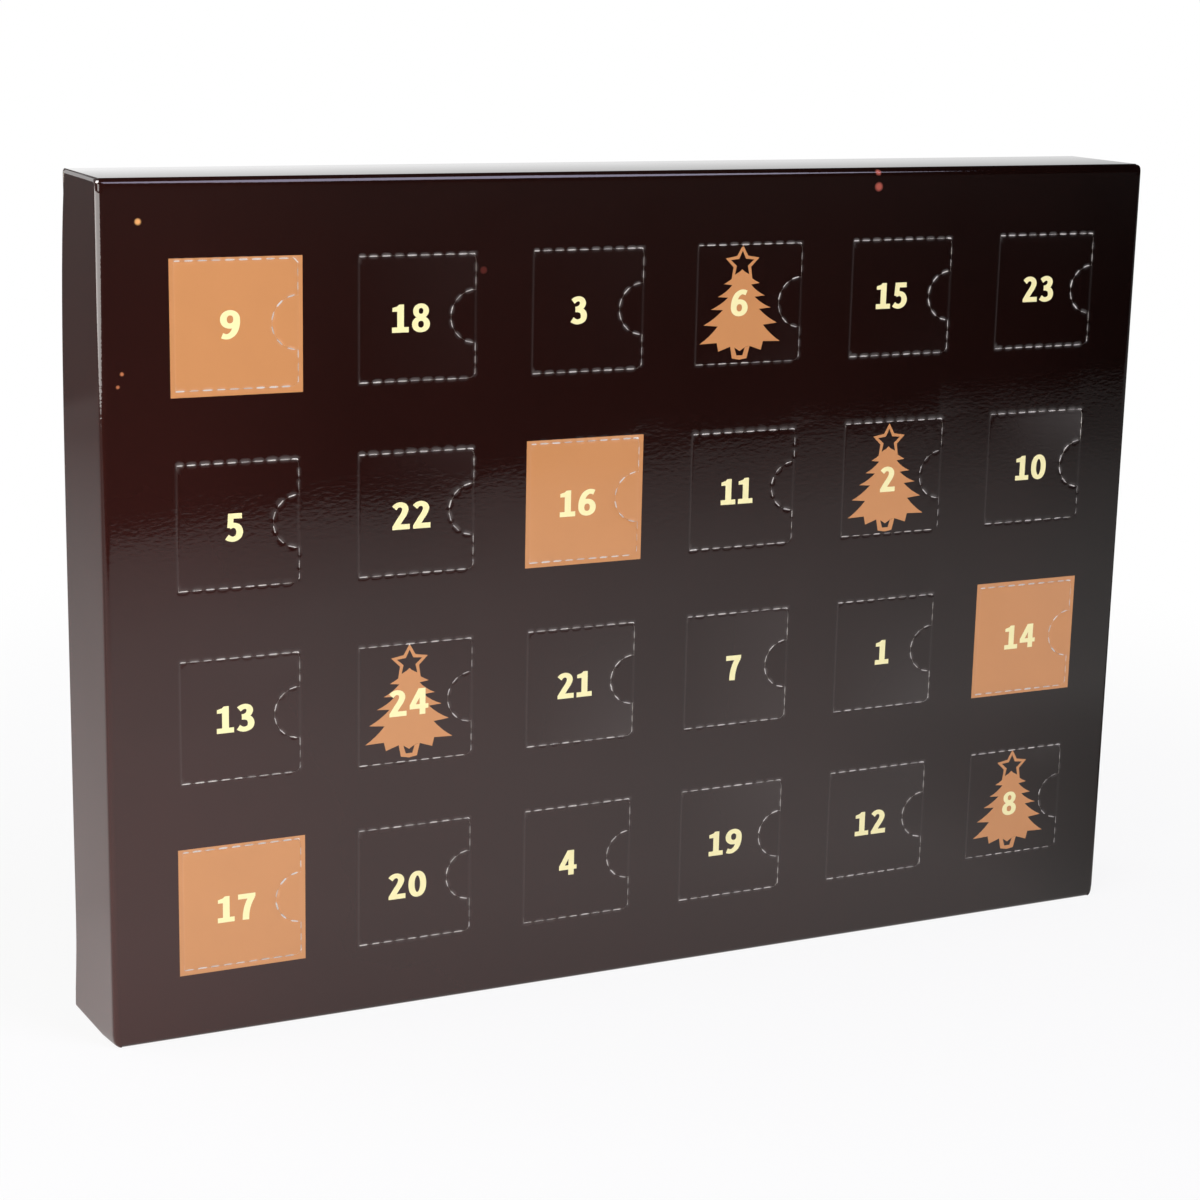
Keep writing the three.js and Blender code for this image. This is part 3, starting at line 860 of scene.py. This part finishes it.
columns = np.concatenate([-end_steps, np.linspace(-0.93, 0.93, 19), end_steps[::-1]])
carton_wrap = folded_board("carton_wrap", line, inward, np.array((1, 0, 0)), 0, half_width, columns,
                           chocolate_print, chocolate_print, torn=worn_corner)
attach(carton_wrap, "root")
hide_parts("carton_shell")

# The end closures. Each is a narrow panel folded back from the front panel's edge over the open end of the
# carton, and it ends in a lip with rounded corners that tucks in along the inside of the back panel.
end_fold_radius = 1.7 * mm
lip_fold_radius = 0.9 * mm
closure_roll = 0.7 * mm  # how far a closure's ends roll inwards
bow_reach, flare_reach = 28 * mm, 14 * mm
# Rounded ends of the fold: how far along it and how far inwards, at the foot and at the top, and how deep
low_reach, low_amount = 3.6 * mm, 2.4 * mm
high_reach, high_amount = 1.0 * mm, 0.7 * mm
round_depth = 8 * mm


def bowed_end(way, bow, flare):
    """How an end stands off the carton: its rear edge springs outwards by bow * (1 - exp(-depth below the
    top / bow reach)) + flare * exp(-(height / flare reach)^2) - spring, in proportion to the distance
    behind the front, its front edge follows the top fold backwards, and its fold is rounded at its ends."""
    def shaped(points):
        share = np.clip((points[:, 1] - front_y) / (carton_high.y - front_y), 0, 1)
        height = np.clip(points[:, 2], 0, carton_high.z)
        out = (bow * (1 - np.exp(-(carton_high.z - height) / bow_reach))
               + flare * np.exp(-(height / flare_reach) ** 2) - spring) * share
        past = np.clip((height - carton_high.z + top_fold_radius) / top_fold_radius, 0, 1)
        back = top_fold_radius * (1 - np.sqrt(1 - past ** 2))
        back = back * np.clip(1 - (points[:, 1] - front_y) / (3 * top_fold_radius), 0, 1)
        shorter = out ** 2 / (2 * (carton_high.y - front_y))
        beyond = np.clip((np.abs(points[:, 0]) - panel_half_width) / (2 * spring), 0, 1)
        behind = np.clip(1 - (points[:, 1] - front_y) / round_depth, 0, 1)
        for from_end, reach, amount in ((height, low_reach, low_amount),
                                        (carton_high.z - height, high_reach, high_amount)):
            near_end = np.clip(1 - from_end / reach, 0, 1)
            out = out - amount * (1 - np.sqrt(1 - near_end ** 2)) * beyond * behind
        return points + np.stack([way * out, back - shorter, np.zeros(len(points))], 1)
    return shaped


bows = {"left": (2.3 * mm, 0.8 * mm), "right": (1.0 * mm, 0.0)}
for hand, way in (("left", -1), ("right", 1)):
    closure_low, closure_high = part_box(f"closure_{hand}")
    lip_low, lip_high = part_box(f"tuck_lip_{hand}")
    outer_x = carton_high.x + spring
    lip_start = closure_high.y - lip_fold_radius
    profile = np.concatenate([
        [[panel_half_width, front_y]],
        turn_points((outer_x - end_fold_radius, front_y + end_fold_radius), end_fold_radius, -90, 0),
        np.stack([np.full(5, outer_x), np.linspace(front_y + 3 * mm, lip_start, 5)], 1)])
    normal = inward_of(profile)
    normal[0] = normal[1] = (0, 1)
    normal[-5:] = (-1, 0)
    line = np.stack([way * profile[:, 0], profile[:, 1], np.zeros(len(profile))], 1)
    inward = np.stack([way * normal[:, 0], normal[:, 1], np.zeros(len(profile))], 1)
    tall = (closure_high.z - closure_low.z) / 2
    columns = np.concatenate([-end_steps, np.linspace(-0.93, 0.93, 25), end_steps[::-1]])
    closure = folded_board(f"closure_panel_{hand}", line, inward, np.array((0, 0, 1)), closure_low.z + tall,
                           np.full(len(line), tall), columns, chocolate_print, chocolate_print,
                           closure_roll, bowed_end(way, *bows[hand]), worn_corner)
    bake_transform(closure)
    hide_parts(f"closure_{hand}")

    lip_end = min(abs(lip_low.x), abs(lip_high.x))
    lip_corner = 5 * mm
    run = np.concatenate([
        [outer_x - lip_fold_radius - 1 * mm, lip_end + lip_corner],
        lip_end + lip_corner * (1 - np.sin(np.radians([15, 30, 45, 60, 75, 90])))])
    profile = np.concatenate([
        turn_points((outer_x - lip_fold_radius, lip_start), lip_fold_radius, 0, 90),
        np.stack([run, np.full(len(run), closure_high.y)], 1)])
    normal = inward_of(profile)
    normal[0] = (-1, 0)
    normal[fold_count - 1:] = (0, -1)
    line = np.stack([way * profile[:, 0], profile[:, 1], np.zeros(len(profile))], 1)
    inward = np.stack([way * normal[:, 0], normal[:, 1], np.zeros(len(profile))], 1)
    lip_tall = (lip_high.z - lip_low.z) / 2
    rounding = np.clip((lip_end + lip_corner - profile[:, 0]) / lip_corner, 0, 1)
    half_width = lip_tall - lip_corner * (1 - np.sqrt(1 - rounding ** 2))
    lip = folded_board(f"lip_panel_{hand}", line, inward, np.array((0, 0, 1)), lip_low.z + lip_tall,
                       half_width, np.linspace(-1, 1, 31), chocolate_print,
                       shaped=bowed_end(way, *bows[hand]))
    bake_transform(lip)
    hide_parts(f"tuck_lip_{hand}")

# The inner flaps. A glue flap holds the back panel to the sheet on the inside, and two dust flaps at each
# end fold across the opening behind the closure; their print side faces the closure.
flap_columns = np.linspace(-1, 1, 9)
glue_low, glue_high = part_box("glue_flap")
profile = np.linspace(glue_high.z, glue_low.z, 5)
line = np.stack([np.zeros(5), np.full(5, glue_high.y), profile], 1)
glue_taper = 6 * mm
half_width = glue_high.x - glue_taper * np.linspace(0, 1, 5) ** 2
glue_flap = folded_board("glue_strip", line, np.tile((0, -1, 0), (5, 1)), np.array((1, 0, 0)), 0, half_width,
                         flap_columns, chocolate_print)
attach(glue_flap, "root")
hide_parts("glue_flap")
flap_shoulder, flap_corner = 5 * mm, 3 * mm
round_from = 0.85  # where a flap's corners start, as a share of its length
for hand, way in (("left", -1), ("right", 1)):
    for level in ("top", "bottom"):
        flap_low, flap_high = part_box(f"dust_flap_{hand}_{level}")
        start, end = (flap_high.z, flap_low.z) if level == "top" else (flap_low.z, flap_high.z)
        share = np.array([0, 0.2, 0.45, 0.7, 0.85, 0.93, 0.98, 1.0])
        outer_x = way * max(abs(flap_low.x), abs(flap_high.x))
        line = np.stack([np.full(8, outer_x), np.zeros(8), start + (end - start) * share], 1)
        rounding = np.clip((share - round_from) / (1 - round_from), 0, 1)
        half_width = ((flap_high.y - flap_low.y) / 2 - flap_shoulder * share
                      - flap_corner * (1 - np.sqrt(1 - rounding ** 2)))
        flap = folded_board(f"end_flap_{hand}_{level}", line, np.tile((-way, 0, 0), (8, 1)),
                            np.array((0, 1, 0)), (flap_high.y + flap_low.y) / 2, half_width, flap_columns,
                            chocolate_print)
        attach(flap, "root")
        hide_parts(f"dust_flap_{hand}_{level}")

# The tray. One thin dark plastic sheet, drawn down over a form: a flat flange behind the front panel, a
# pocket behind each door with drafted walls and a rounded floor, and a short rim all round.
tray_low, tray_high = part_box("tray")
tray_wall = 0.5 * mm
pocket_margin = 1.75 * mm
pocket_radius, least_radius = 4 * mm, 1.2 * mm
tray_corner = 3 * mm
lip_fillet, floor_fillet = 1.0 * mm, 2.6 * mm
pocket_draft = math.tan(math.radians(3))
rim_depth = 6 * mm
formed_tray, tree, shader = new_look("formed_tray")
place = kept(tree, "printed_at", "Vector")
drawn, grain = noise(tree, place, 90.0, 3.0), noise(tree, place, 1800.0, 2.0)
relief = sums(tree, "ADD", sums(tree, "MULTIPLY", grain, 0.004 * mm),
              sums(tree, "MULTIPLY", drawn, 0.05 * mm))
tray_brown = blend_colours(tree, drawn, (0.012, 0.009, 0.008, 1), (0.03, 0.022, 0.019, 1))
for result, socket in ((tray_brown, "Base Color"), (ramp(tree, drawn, low=0.22, high=0.42), "Roughness"),
                       (bump(tree, relief), "Normal")):
    tree.links.new(result, shader.inputs[socket])


def rounded_box(low_x, high_x, low_z, high_z, radius):
    """A rectangle with rounded corners, counterclockwise from the lower left, six points to a side."""
    corners = ((low_x, low_z, 180), (high_x, low_z, 270), (high_x, high_z, 0), (low_x, high_z, 90))
    runs = []
    for x, z, start in corners:
        centre = (x + radius * (1 if x == low_x else -1), z + radius * (1 if z == low_z else -1))
        runs.append(turn_points(centre, radius, start, start + 90, 8))
    joined = []
    for run, following in zip(runs, runs[1:] + runs[:1]):
        joined += [run[:-1], side(run[-1], following[0], 6)]
    return np.concatenate(joined)


floor_y = tray_high.y - tray_wall
angles = np.radians(np.linspace(0, 87, 5))
wall_start = tray_low.y + lip_fillet
floor_grow = -pocket_draft * (floor_y - floor_fillet - wall_start)
pocket_rows = ([(lip_fillet * (1 - math.sin(a)), tray_low.y + lip_fillet * (1 - math.cos(a))) for a in angles]
               + [(-pocket_draft * (y - wall_start), y) for y in np.linspace(wall_start + 4 * mm,
                                                                            floor_y - floor_fillet, 4)]
               + [(floor_grow - floor_fillet * (1 - math.cos(a)), floor_y - floor_fillet * (1 - math.sin(a)))
                  for a in np.radians([20, 40, 60, 75, 90])])
points, quads, rims, rim_numbers, caps = [], [], [], [], []
total = 0
for n, (left, right, bottom, top) in places.items():
    rings = []
    for grow, y in pocket_rows:
        g = pocket_margin + grow
        outline = rounded_box(left - g, right + g, bottom - g, top + g,
                              max(pocket_radius + grow, least_radius))
        rings.append(np.stack([outline[:, 0], np.full(len(outline), y), outline[:, 1]], 1))
    count = len(rings[0])
    numbers = total + np.arange(len(rings) * count).reshape(len(rings), count)
    points += rings
    quads += [between(numbers[i], numbers[i + 1]) for i in range(len(rings) - 1)]
    rims.append(rings[0][:, [0, 2]])
    rim_numbers.append(numbers[0])
    _, triangles, _ = fill([rings[-1][:, [0, 2]]])
    caps.append(numbers[-1][triangles])
    total += numbers.size
border_rows = [(-1.0, 0), (-0.5, 0.13), (-0.13, 0.5), (0, 1.0), (0, rim_depth / mm)]
border_rings = []
for grow, back in border_rows:
    g = grow * mm
    outline = rounded_box(tray_low.x - g, tray_high.x + g, tray_low.z - g, tray_high.z + g, tray_corner + g)
    level = np.full(len(outline), tray_low.y + back * mm)
    border_rings.append(np.stack([outline[:, 0], level, outline[:, 1]], 1))
count = len(border_rings[0])
numbers = total + np.arange(len(border_rings) * count).reshape(len(border_rings), count)
quads += [between(numbers[i + 1], numbers[i]) for i in range(len(border_rings) - 1)]
_, triangles, inside = fill([border_rings[0][:, [0, 2]]] + rims)
renumber = np.concatenate([numbers[0]] + rim_numbers)
flange = renumber[triangles[[group == [0] for group in inside]]]
tray = make_piece("gift_tray", np.concatenate(points + border_rings),
                  [(np.concatenate(quads), formed_tray), (np.concatenate(caps + [flange]), formed_tray)])
wall = tray.modifiers.new("wall", "SOLIDIFY")
wall.thickness, wall.offset = tray_wall, -1
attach(tray, "root")
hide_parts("tray")

# The stones. Each pocket holds one small tumbled stone, which lies on the pocket's lower wall: a rounded,
# slightly lobed pebble of banded or clouded mineral with a waxy polish.
stone_rows, stone_columns = 18, 30
mineral, mineral_in = effect_group("mineral", {
    "First": (colour, (0.5, 0.5, 0.5, 1)), "Second": (colour, (0.2, 0.2, 0.2, 1)),
    "Vein": (colour, (0.9, 0.9, 0.9, 1)), "Bands": (number, 200.0)})
place = kept(mineral, "printed_at", "Vector")
cloud = noise(mineral, place, 110.0, 5.0, Distortion=1.2)
bands = feed(mineral, "ShaderNodeTexWave", {"Vector": place, "Scale": mineral_in["Bands"],
                                            "Distortion": 7.0, "Detail": 3.0}, "Fac")
veins = feed(mineral, "ShaderNodeTexVoronoi", {"Vector": place, "Scale": 120.0}, "Distance",
             feature="DISTANCE_TO_EDGE")
mixed = blend_colours(mineral, cloud, mineral_in["First"], mineral_in["Second"])
mixed = blend_colours(mineral, sums(mineral, "MULTIPLY", bands, 0.4), mixed, mineral_in["Second"])
vein = sums(mineral, "MULTIPLY", ramp(mineral, veins, 0.05, 0.0), 0.55)
close_group(mineral, blend_colours(mineral, vein, mixed, mineral_in["Vein"]),
            ramp(mineral, cloud, low=0.12, high=0.32), sums(mineral, "MULTIPLY", cloud, 0.05 * mm))
minerals = {
    "amethyst": ((0.17, 0.06, 0.33), (0.42, 0.26, 0.60), (0.75, 0.66, 0.85), 90.0),
    "rose_quartz": ((0.76, 0.42, 0.44), (0.86, 0.62, 0.62), (0.95, 0.85, 0.84), 60.0),
    "tiger_eye": ((0.36, 0.15, 0.03), (0.07, 0.025, 0.01), (0.75, 0.45, 0.12), 260.0),
    "aventurine": ((0.06, 0.25, 0.11), (0.16, 0.42, 0.22), (0.45, 0.66, 0.48), 110.0),
    "agate": ((0.12, 0.22, 0.40), (0.45, 0.58, 0.72), (0.88, 0.90, 0.92), 210.0),
    "jasper": ((0.36, 0.06, 0.03), (0.22, 0.04, 0.02), (0.72, 0.50, 0.34), 150.0),
}
mineral_looks = []
for mineral_name, (first, second, vein_colour, band_scale) in minerals.items():
    look, _, _ = new_look(mineral_name, mineral, First=(*first, 1), Second=(*second, 1),
                          Vein=(*vein_colour, 1), Bands=band_scale)
    mineral_looks.append(look)
# A stone's half sizes in mm, smallest and largest; the power of its rounding; its waves
least_stone, most_stone = (9.0, 8.0, 6.0), (11.5, 9.5, 8.0)
stone_power = 2.5
least_wave, most_wave, wave_pace = 0.012, 0.04, 2.2
most_aside, most_forward = 3, 4  # how far from its pocket's middle a stone may lie, in mm


def pebble(half_sizes, lobes, turn):
    """A closed pebble: for each direction, the superellipsoid's reach (|x/a|^p + |y/b|^p + |z/c|^p)^(-1/p)
    times 1 + a few slow waves, then turned about the upright axis."""
    down = np.linspace(0, math.pi, stone_rows + 2)[1:-1, None]
    round_about = np.linspace(0, 2 * math.pi, stone_columns, endpoint=False)
    ways = np.broadcast_arrays(np.sin(down) * np.cos(round_about), np.sin(down) * np.sin(round_about),
                               np.cos(down))
    ways = np.stack(ways, -1).reshape(-1, 3)
    ways = np.concatenate([ways, [[0, 0, 1], [0, 0, -1]]])
    reach = (np.abs(ways / half_sizes) ** stone_power).sum(1) ** (-1 / stone_power)
    waves = np.sin(ways @ lobes[:, :3].T * wave_pace + lobes[:, 3]) @ lobes[:, 4]
    shape = ways * (reach * (1 + waves))[:, None]
    c, s = math.cos(turn), math.sin(turn)
    return shape @ np.array([[c, s, 0], [-s, c, 0], [0, 0, 1]])


grid = np.arange(stone_rows * stone_columns).reshape(stone_rows, stone_columns)
top_point, low_point = grid.size, grid.size + 1
ahead = np.roll(grid, -1, 1)
pebble_quads = np.stack([grid[:-1], grid[1:], ahead[1:], ahead[:-1]], -1).reshape(-1, 4)
pebble_ends = np.concatenate([
    np.stack([np.full(stone_columns, top_point), grid[0], ahead[0]], 1),
    np.stack([np.full(stone_columns, low_point), ahead[-1], grid[-1]], 1)])
for n, (left, right, bottom, top) in sorted(places.items()):
    half_sizes = chance.uniform(least_stone, most_stone) * mm
    lobes = np.concatenate([chance.normal(size=(5, 3)), chance.uniform(0, 6, (5, 1)),
                            chance.uniform(least_wave, most_wave, (5, 1))], 1)
    shape = pebble(half_sizes, lobes, chance.uniform(0, math.pi))
    shape = shape + ((left + right) / 2 + chance.uniform(-most_aside, most_aside) * mm,
                     chance.uniform(-most_forward, 0) * mm, 0)
    wall_height = bottom - pocket_margin + pocket_draft * (shape[:, 1] - wall_start)
    shape = shape + (0, 0, (wall_height - shape[:, 2]).max())
    stone = make_piece(f"stone_{n:02d}", shape, [(pebble_quads, mineral_looks[n % len(mineral_looks)]),
                                                 (pebble_ends, mineral_looks[n % len(mineral_looks)])])
    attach(stone, "root")

# The table and the light. A pale table stands in a soft studio. In the film's reflections the floor glows
# with
# a painted reflection: a table sheet that ends in front of the carton and behind it, and beyond it a studio
# painted dark, as it is in a real studio.
table_turn = math.radians(18)
ahead_way = (math.sin(table_turn), math.cos(table_turn), 0)
table_front, table_back = -0.655, 0.90
front_blur, back_blur = 0.006, 0.02
# Middle of the painted pool of light that the film mirrors
lit_middle = (-0.1, -0.1, 0)
pale_table, tree, shader = new_look("pale_table")
spot = feed(tree, "ShaderNodeTexCoord", None, "Object")
forward = feed(tree, "ShaderNodeVectorMath", {0: spot, 1: ahead_way}, "Value", operation="DOT_PRODUCT")
tree.links.new(ramp(tree, noise(tree, spot, 500.0, 2.0), low=0.55, high=0.65), shader.inputs["Roughness"])
shader.inputs["Base Color"].default_value = (0.9, 0.9, 0.9, 1)
shader.inputs["Specular IOR Level"].default_value = 0.2
across, along, _ = axes_of(tree, spot)
on_table = sums(tree, "MULTIPLY", ramp(tree, forward, table_front - front_blur, table_front + front_blur),
                ramp(tree, forward, table_back + back_blur, table_back - back_blur))
# What the film mirrors of the table is painted light, an emission that only glossy rays see: a painted pool
# of light brightest round its lit middle, dimmer at its front edge, painted shadow dim behind the carton and
# dark close to the right of it
lit = feed(tree, "ShaderNodeVectorMath", {0: spot, 1: lit_middle}, "Value", operation="DISTANCE")
table_light = ramp(tree, lit, 0.2, 1.13, 1.12, 0.30)
# Painted shadow of the carton in what the film mirrors: dark close to its right, dimmer behind it
painted_shadow_right = sums(tree, "MULTIPLY", ramp(tree, across, 0.15, 0.3), ramp(tree, along, -0.25, -0.05))
for share in (ramp(tree, forward, table_front, table_front + 0.2, 0.68, 1.0),
              ramp(tree, along, -0.1, 0.1, 1.0, 0.64), ramp(tree, painted_shadow_right, 0, 1, 1.0, 0.06)):
    table_light = sums(tree, "MULTIPLY", table_light, share)
dim = feed(tree, "ShaderNodeMix", {0: sums(tree, "GREATER_THAN", forward, 0.0),
                                   2: ramp(tree, forward, -0.9, -2.5, 0.0, 0.08), 3: 0.12})
seen_in_film = feed(tree, "ShaderNodeMix", {0: on_table, 2: dim, 3: table_light})
glow = feed(tree, "ShaderNodeEmission", {"Color": (1.0, 0.985, 0.97, 1), "Strength": seen_in_film})
# What the camera sees of the table: white, but for a faint shadow close to the carton
least_white = 0.88
away = feed(tree, "ShaderNodeVectorMath", {0: spot}, "Value", operation="LENGTH")
path = tree.nodes.new("ShaderNodeLightPath")
sweep = feed(tree, "ShaderNodeMapRange", {"Value": away, 1: 0.22, 2: 0.6}, interpolation_type="SMOOTHSTEP")
sweep = sums(tree, "ADD", sums(tree, "MULTIPLY", sweep, 1 - least_white), least_white)
sweep = sums(tree, "MULTIPLY", sweep, path.outputs["Is Camera Ray"])
white = feed(tree, "ShaderNodeEmission", {"Color": (1, 1, 1, 1), "Strength": 1.0})
pale = tree.nodes.new("ShaderNodeMixShader")
both = tree.nodes.new("ShaderNodeMixShader")
for mix, share, first, second in ((pale, sweep, shader.outputs[0], white),
                                  (both, path.outputs["Is Glossy Ray"], pale.outputs[0], glow)):
    for socket, value in zip(mix.inputs, (share, first, second)):
        tree.links.new(value, socket)
tree.links.new(both.outputs[0], tree.nodes["Material Output"].inputs["Surface"])
floor = make_piece("pale_floor", np.array(((-6, -6, 0), (6, -6, 0), (6, 6, 0), (-6, 6, 0)), float),
                   [(np.array([[0, 1, 2, 3]]), pale_table)])

# The studio's walls: white to the camera, a soft fill for mat surfaces, and in the film a bright band
# low behind the carton and a grey wall to its left
wall_fill = 0.21
studio = bpy.data.worlds.new("studio")
bpy.context.scene.world = studio
studio.use_nodes = True
tree = studio.node_tree
tree.nodes.clear()
path = tree.nodes.new("ShaderNodeLightPath")
heading = feed(tree, "ShaderNodeTexCoord", None, "Generated")
rightwards, backwards, upwards = axes_of(tree, heading)
behind = sums(tree, "GREATER_THAN", backwards, 0.2)
low_band = sums(tree, "MULTIPLY", behind, sums(tree, "LESS_THAN", upwards, 0.27))
low_band = sums(tree, "MULTIPLY", low_band, sums(tree, "LESS_THAN", rightwards, 0.68))
grey_side = sums(tree, "MULTIPLY", behind, ramp(tree, rightwards, 0.05, -0.2, 0.01, 0.35))
bright_back = ramp(tree, rightwards, 0.25, 0.6, 1.12, 0.84)
in_film = feed(tree, "ShaderNodeMix", {0: low_band, 2: grey_side, 3: bright_back})
fill_light = feed(tree, "ShaderNodeMix", {0: path.outputs["Is Diffuse Ray"], 2: in_film, 3: wall_fill})
strength = feed(tree, "ShaderNodeMix", {0: path.outputs["Is Camera Ray"], 2: fill_light, 3: 1.0})
background = feed(tree, "ShaderNodeBackground", {"Color": (1, 1, 1, 1), "Strength": strength})
tree.links.new(background, tree.nodes.new("ShaderNodeOutputWorld").inputs["Surface"])


def softbox(name, place, target, size, radiance, tint):
    """A rectangular lamp that faces a target; its power is radiance * pi * its area."""
    lamp = bpy.data.lights.new(name, "AREA")
    lamp.shape = "RECTANGLE"
    lamp.size, lamp.size_y = size
    lamp.energy = radiance * math.pi * size[0] * size[1]
    lamp.color = tint
    piece = bpy.data.objects.new(name, lamp)
    bpy.context.scene.collection.objects.link(piece)
    way = (np.array(target) - place) / np.linalg.norm(np.array(target) - place)
    across = np.cross(way, (0, 0, 1))
    across = across / np.linalg.norm(across)
    up = np.cross(across, way)
    turned = np.stack([across, up, -way], 1)
    piece.matrix_world = Matrix([(*row, offset) for row, offset in zip(turned, place)] + [(0, 0, 0, 1)])


softboxes = {  # place, target, size, radiance and tint
    "cool_softbox": ((0.55, -0.9, 1.5), (0, 0, 0.2), (0.7, 0.9), 6.6, (0.78, 0.75, 1.0)),
    "left_softbox": ((-1.3, -0.5, 0.1), (0.5, -0.5, 0.1), (3.4, 0.2), 7.0, (1.0, 0.98, 0.95)),
    "overhead_softbox": ((-0.9, 0.3, 1.7), (-0.1, 0, 0), (1.2, 1.2), 1.8, (1.0, 1.0, 1.0)),
    "front_softbox": ((-0.75, -0.62, 0.5), (0, 0, 0.12), (0.5, 0.5), 6.3, (1.0, 0.98, 0.95)),
}
for softbox_name, values in softboxes.items():
    softbox(softbox_name, *values)

# The camera. It stands a little left of the carton and above it, as the photograph was taken.
camera_place = (-0.35681, -0.71170, 0.30480)
camera_turn, camera_tilt, camera_roll = math.radians(-25.98), math.radians(76.53), math.radians(1.286)
camera = bpy.data.cameras.new("photo_camera")
camera.lens, camera.sensor_width = 78.9, 36
camera_piece = bpy.data.objects.new("photo_camera", camera)
bpy.context.scene.collection.objects.link(camera_piece)
camera_piece.matrix_world = (Matrix.Translation(camera_place) @ Matrix.Rotation(camera_turn, 4, "Z")
                             @ Matrix.Rotation(camera_tilt, 4, "X") @ Matrix.Rotation(camera_roll, 4, "Z"))
bpy.context.scene.camera = camera_piece
bpy.context.scene.view_settings.view_transform = "Standard"
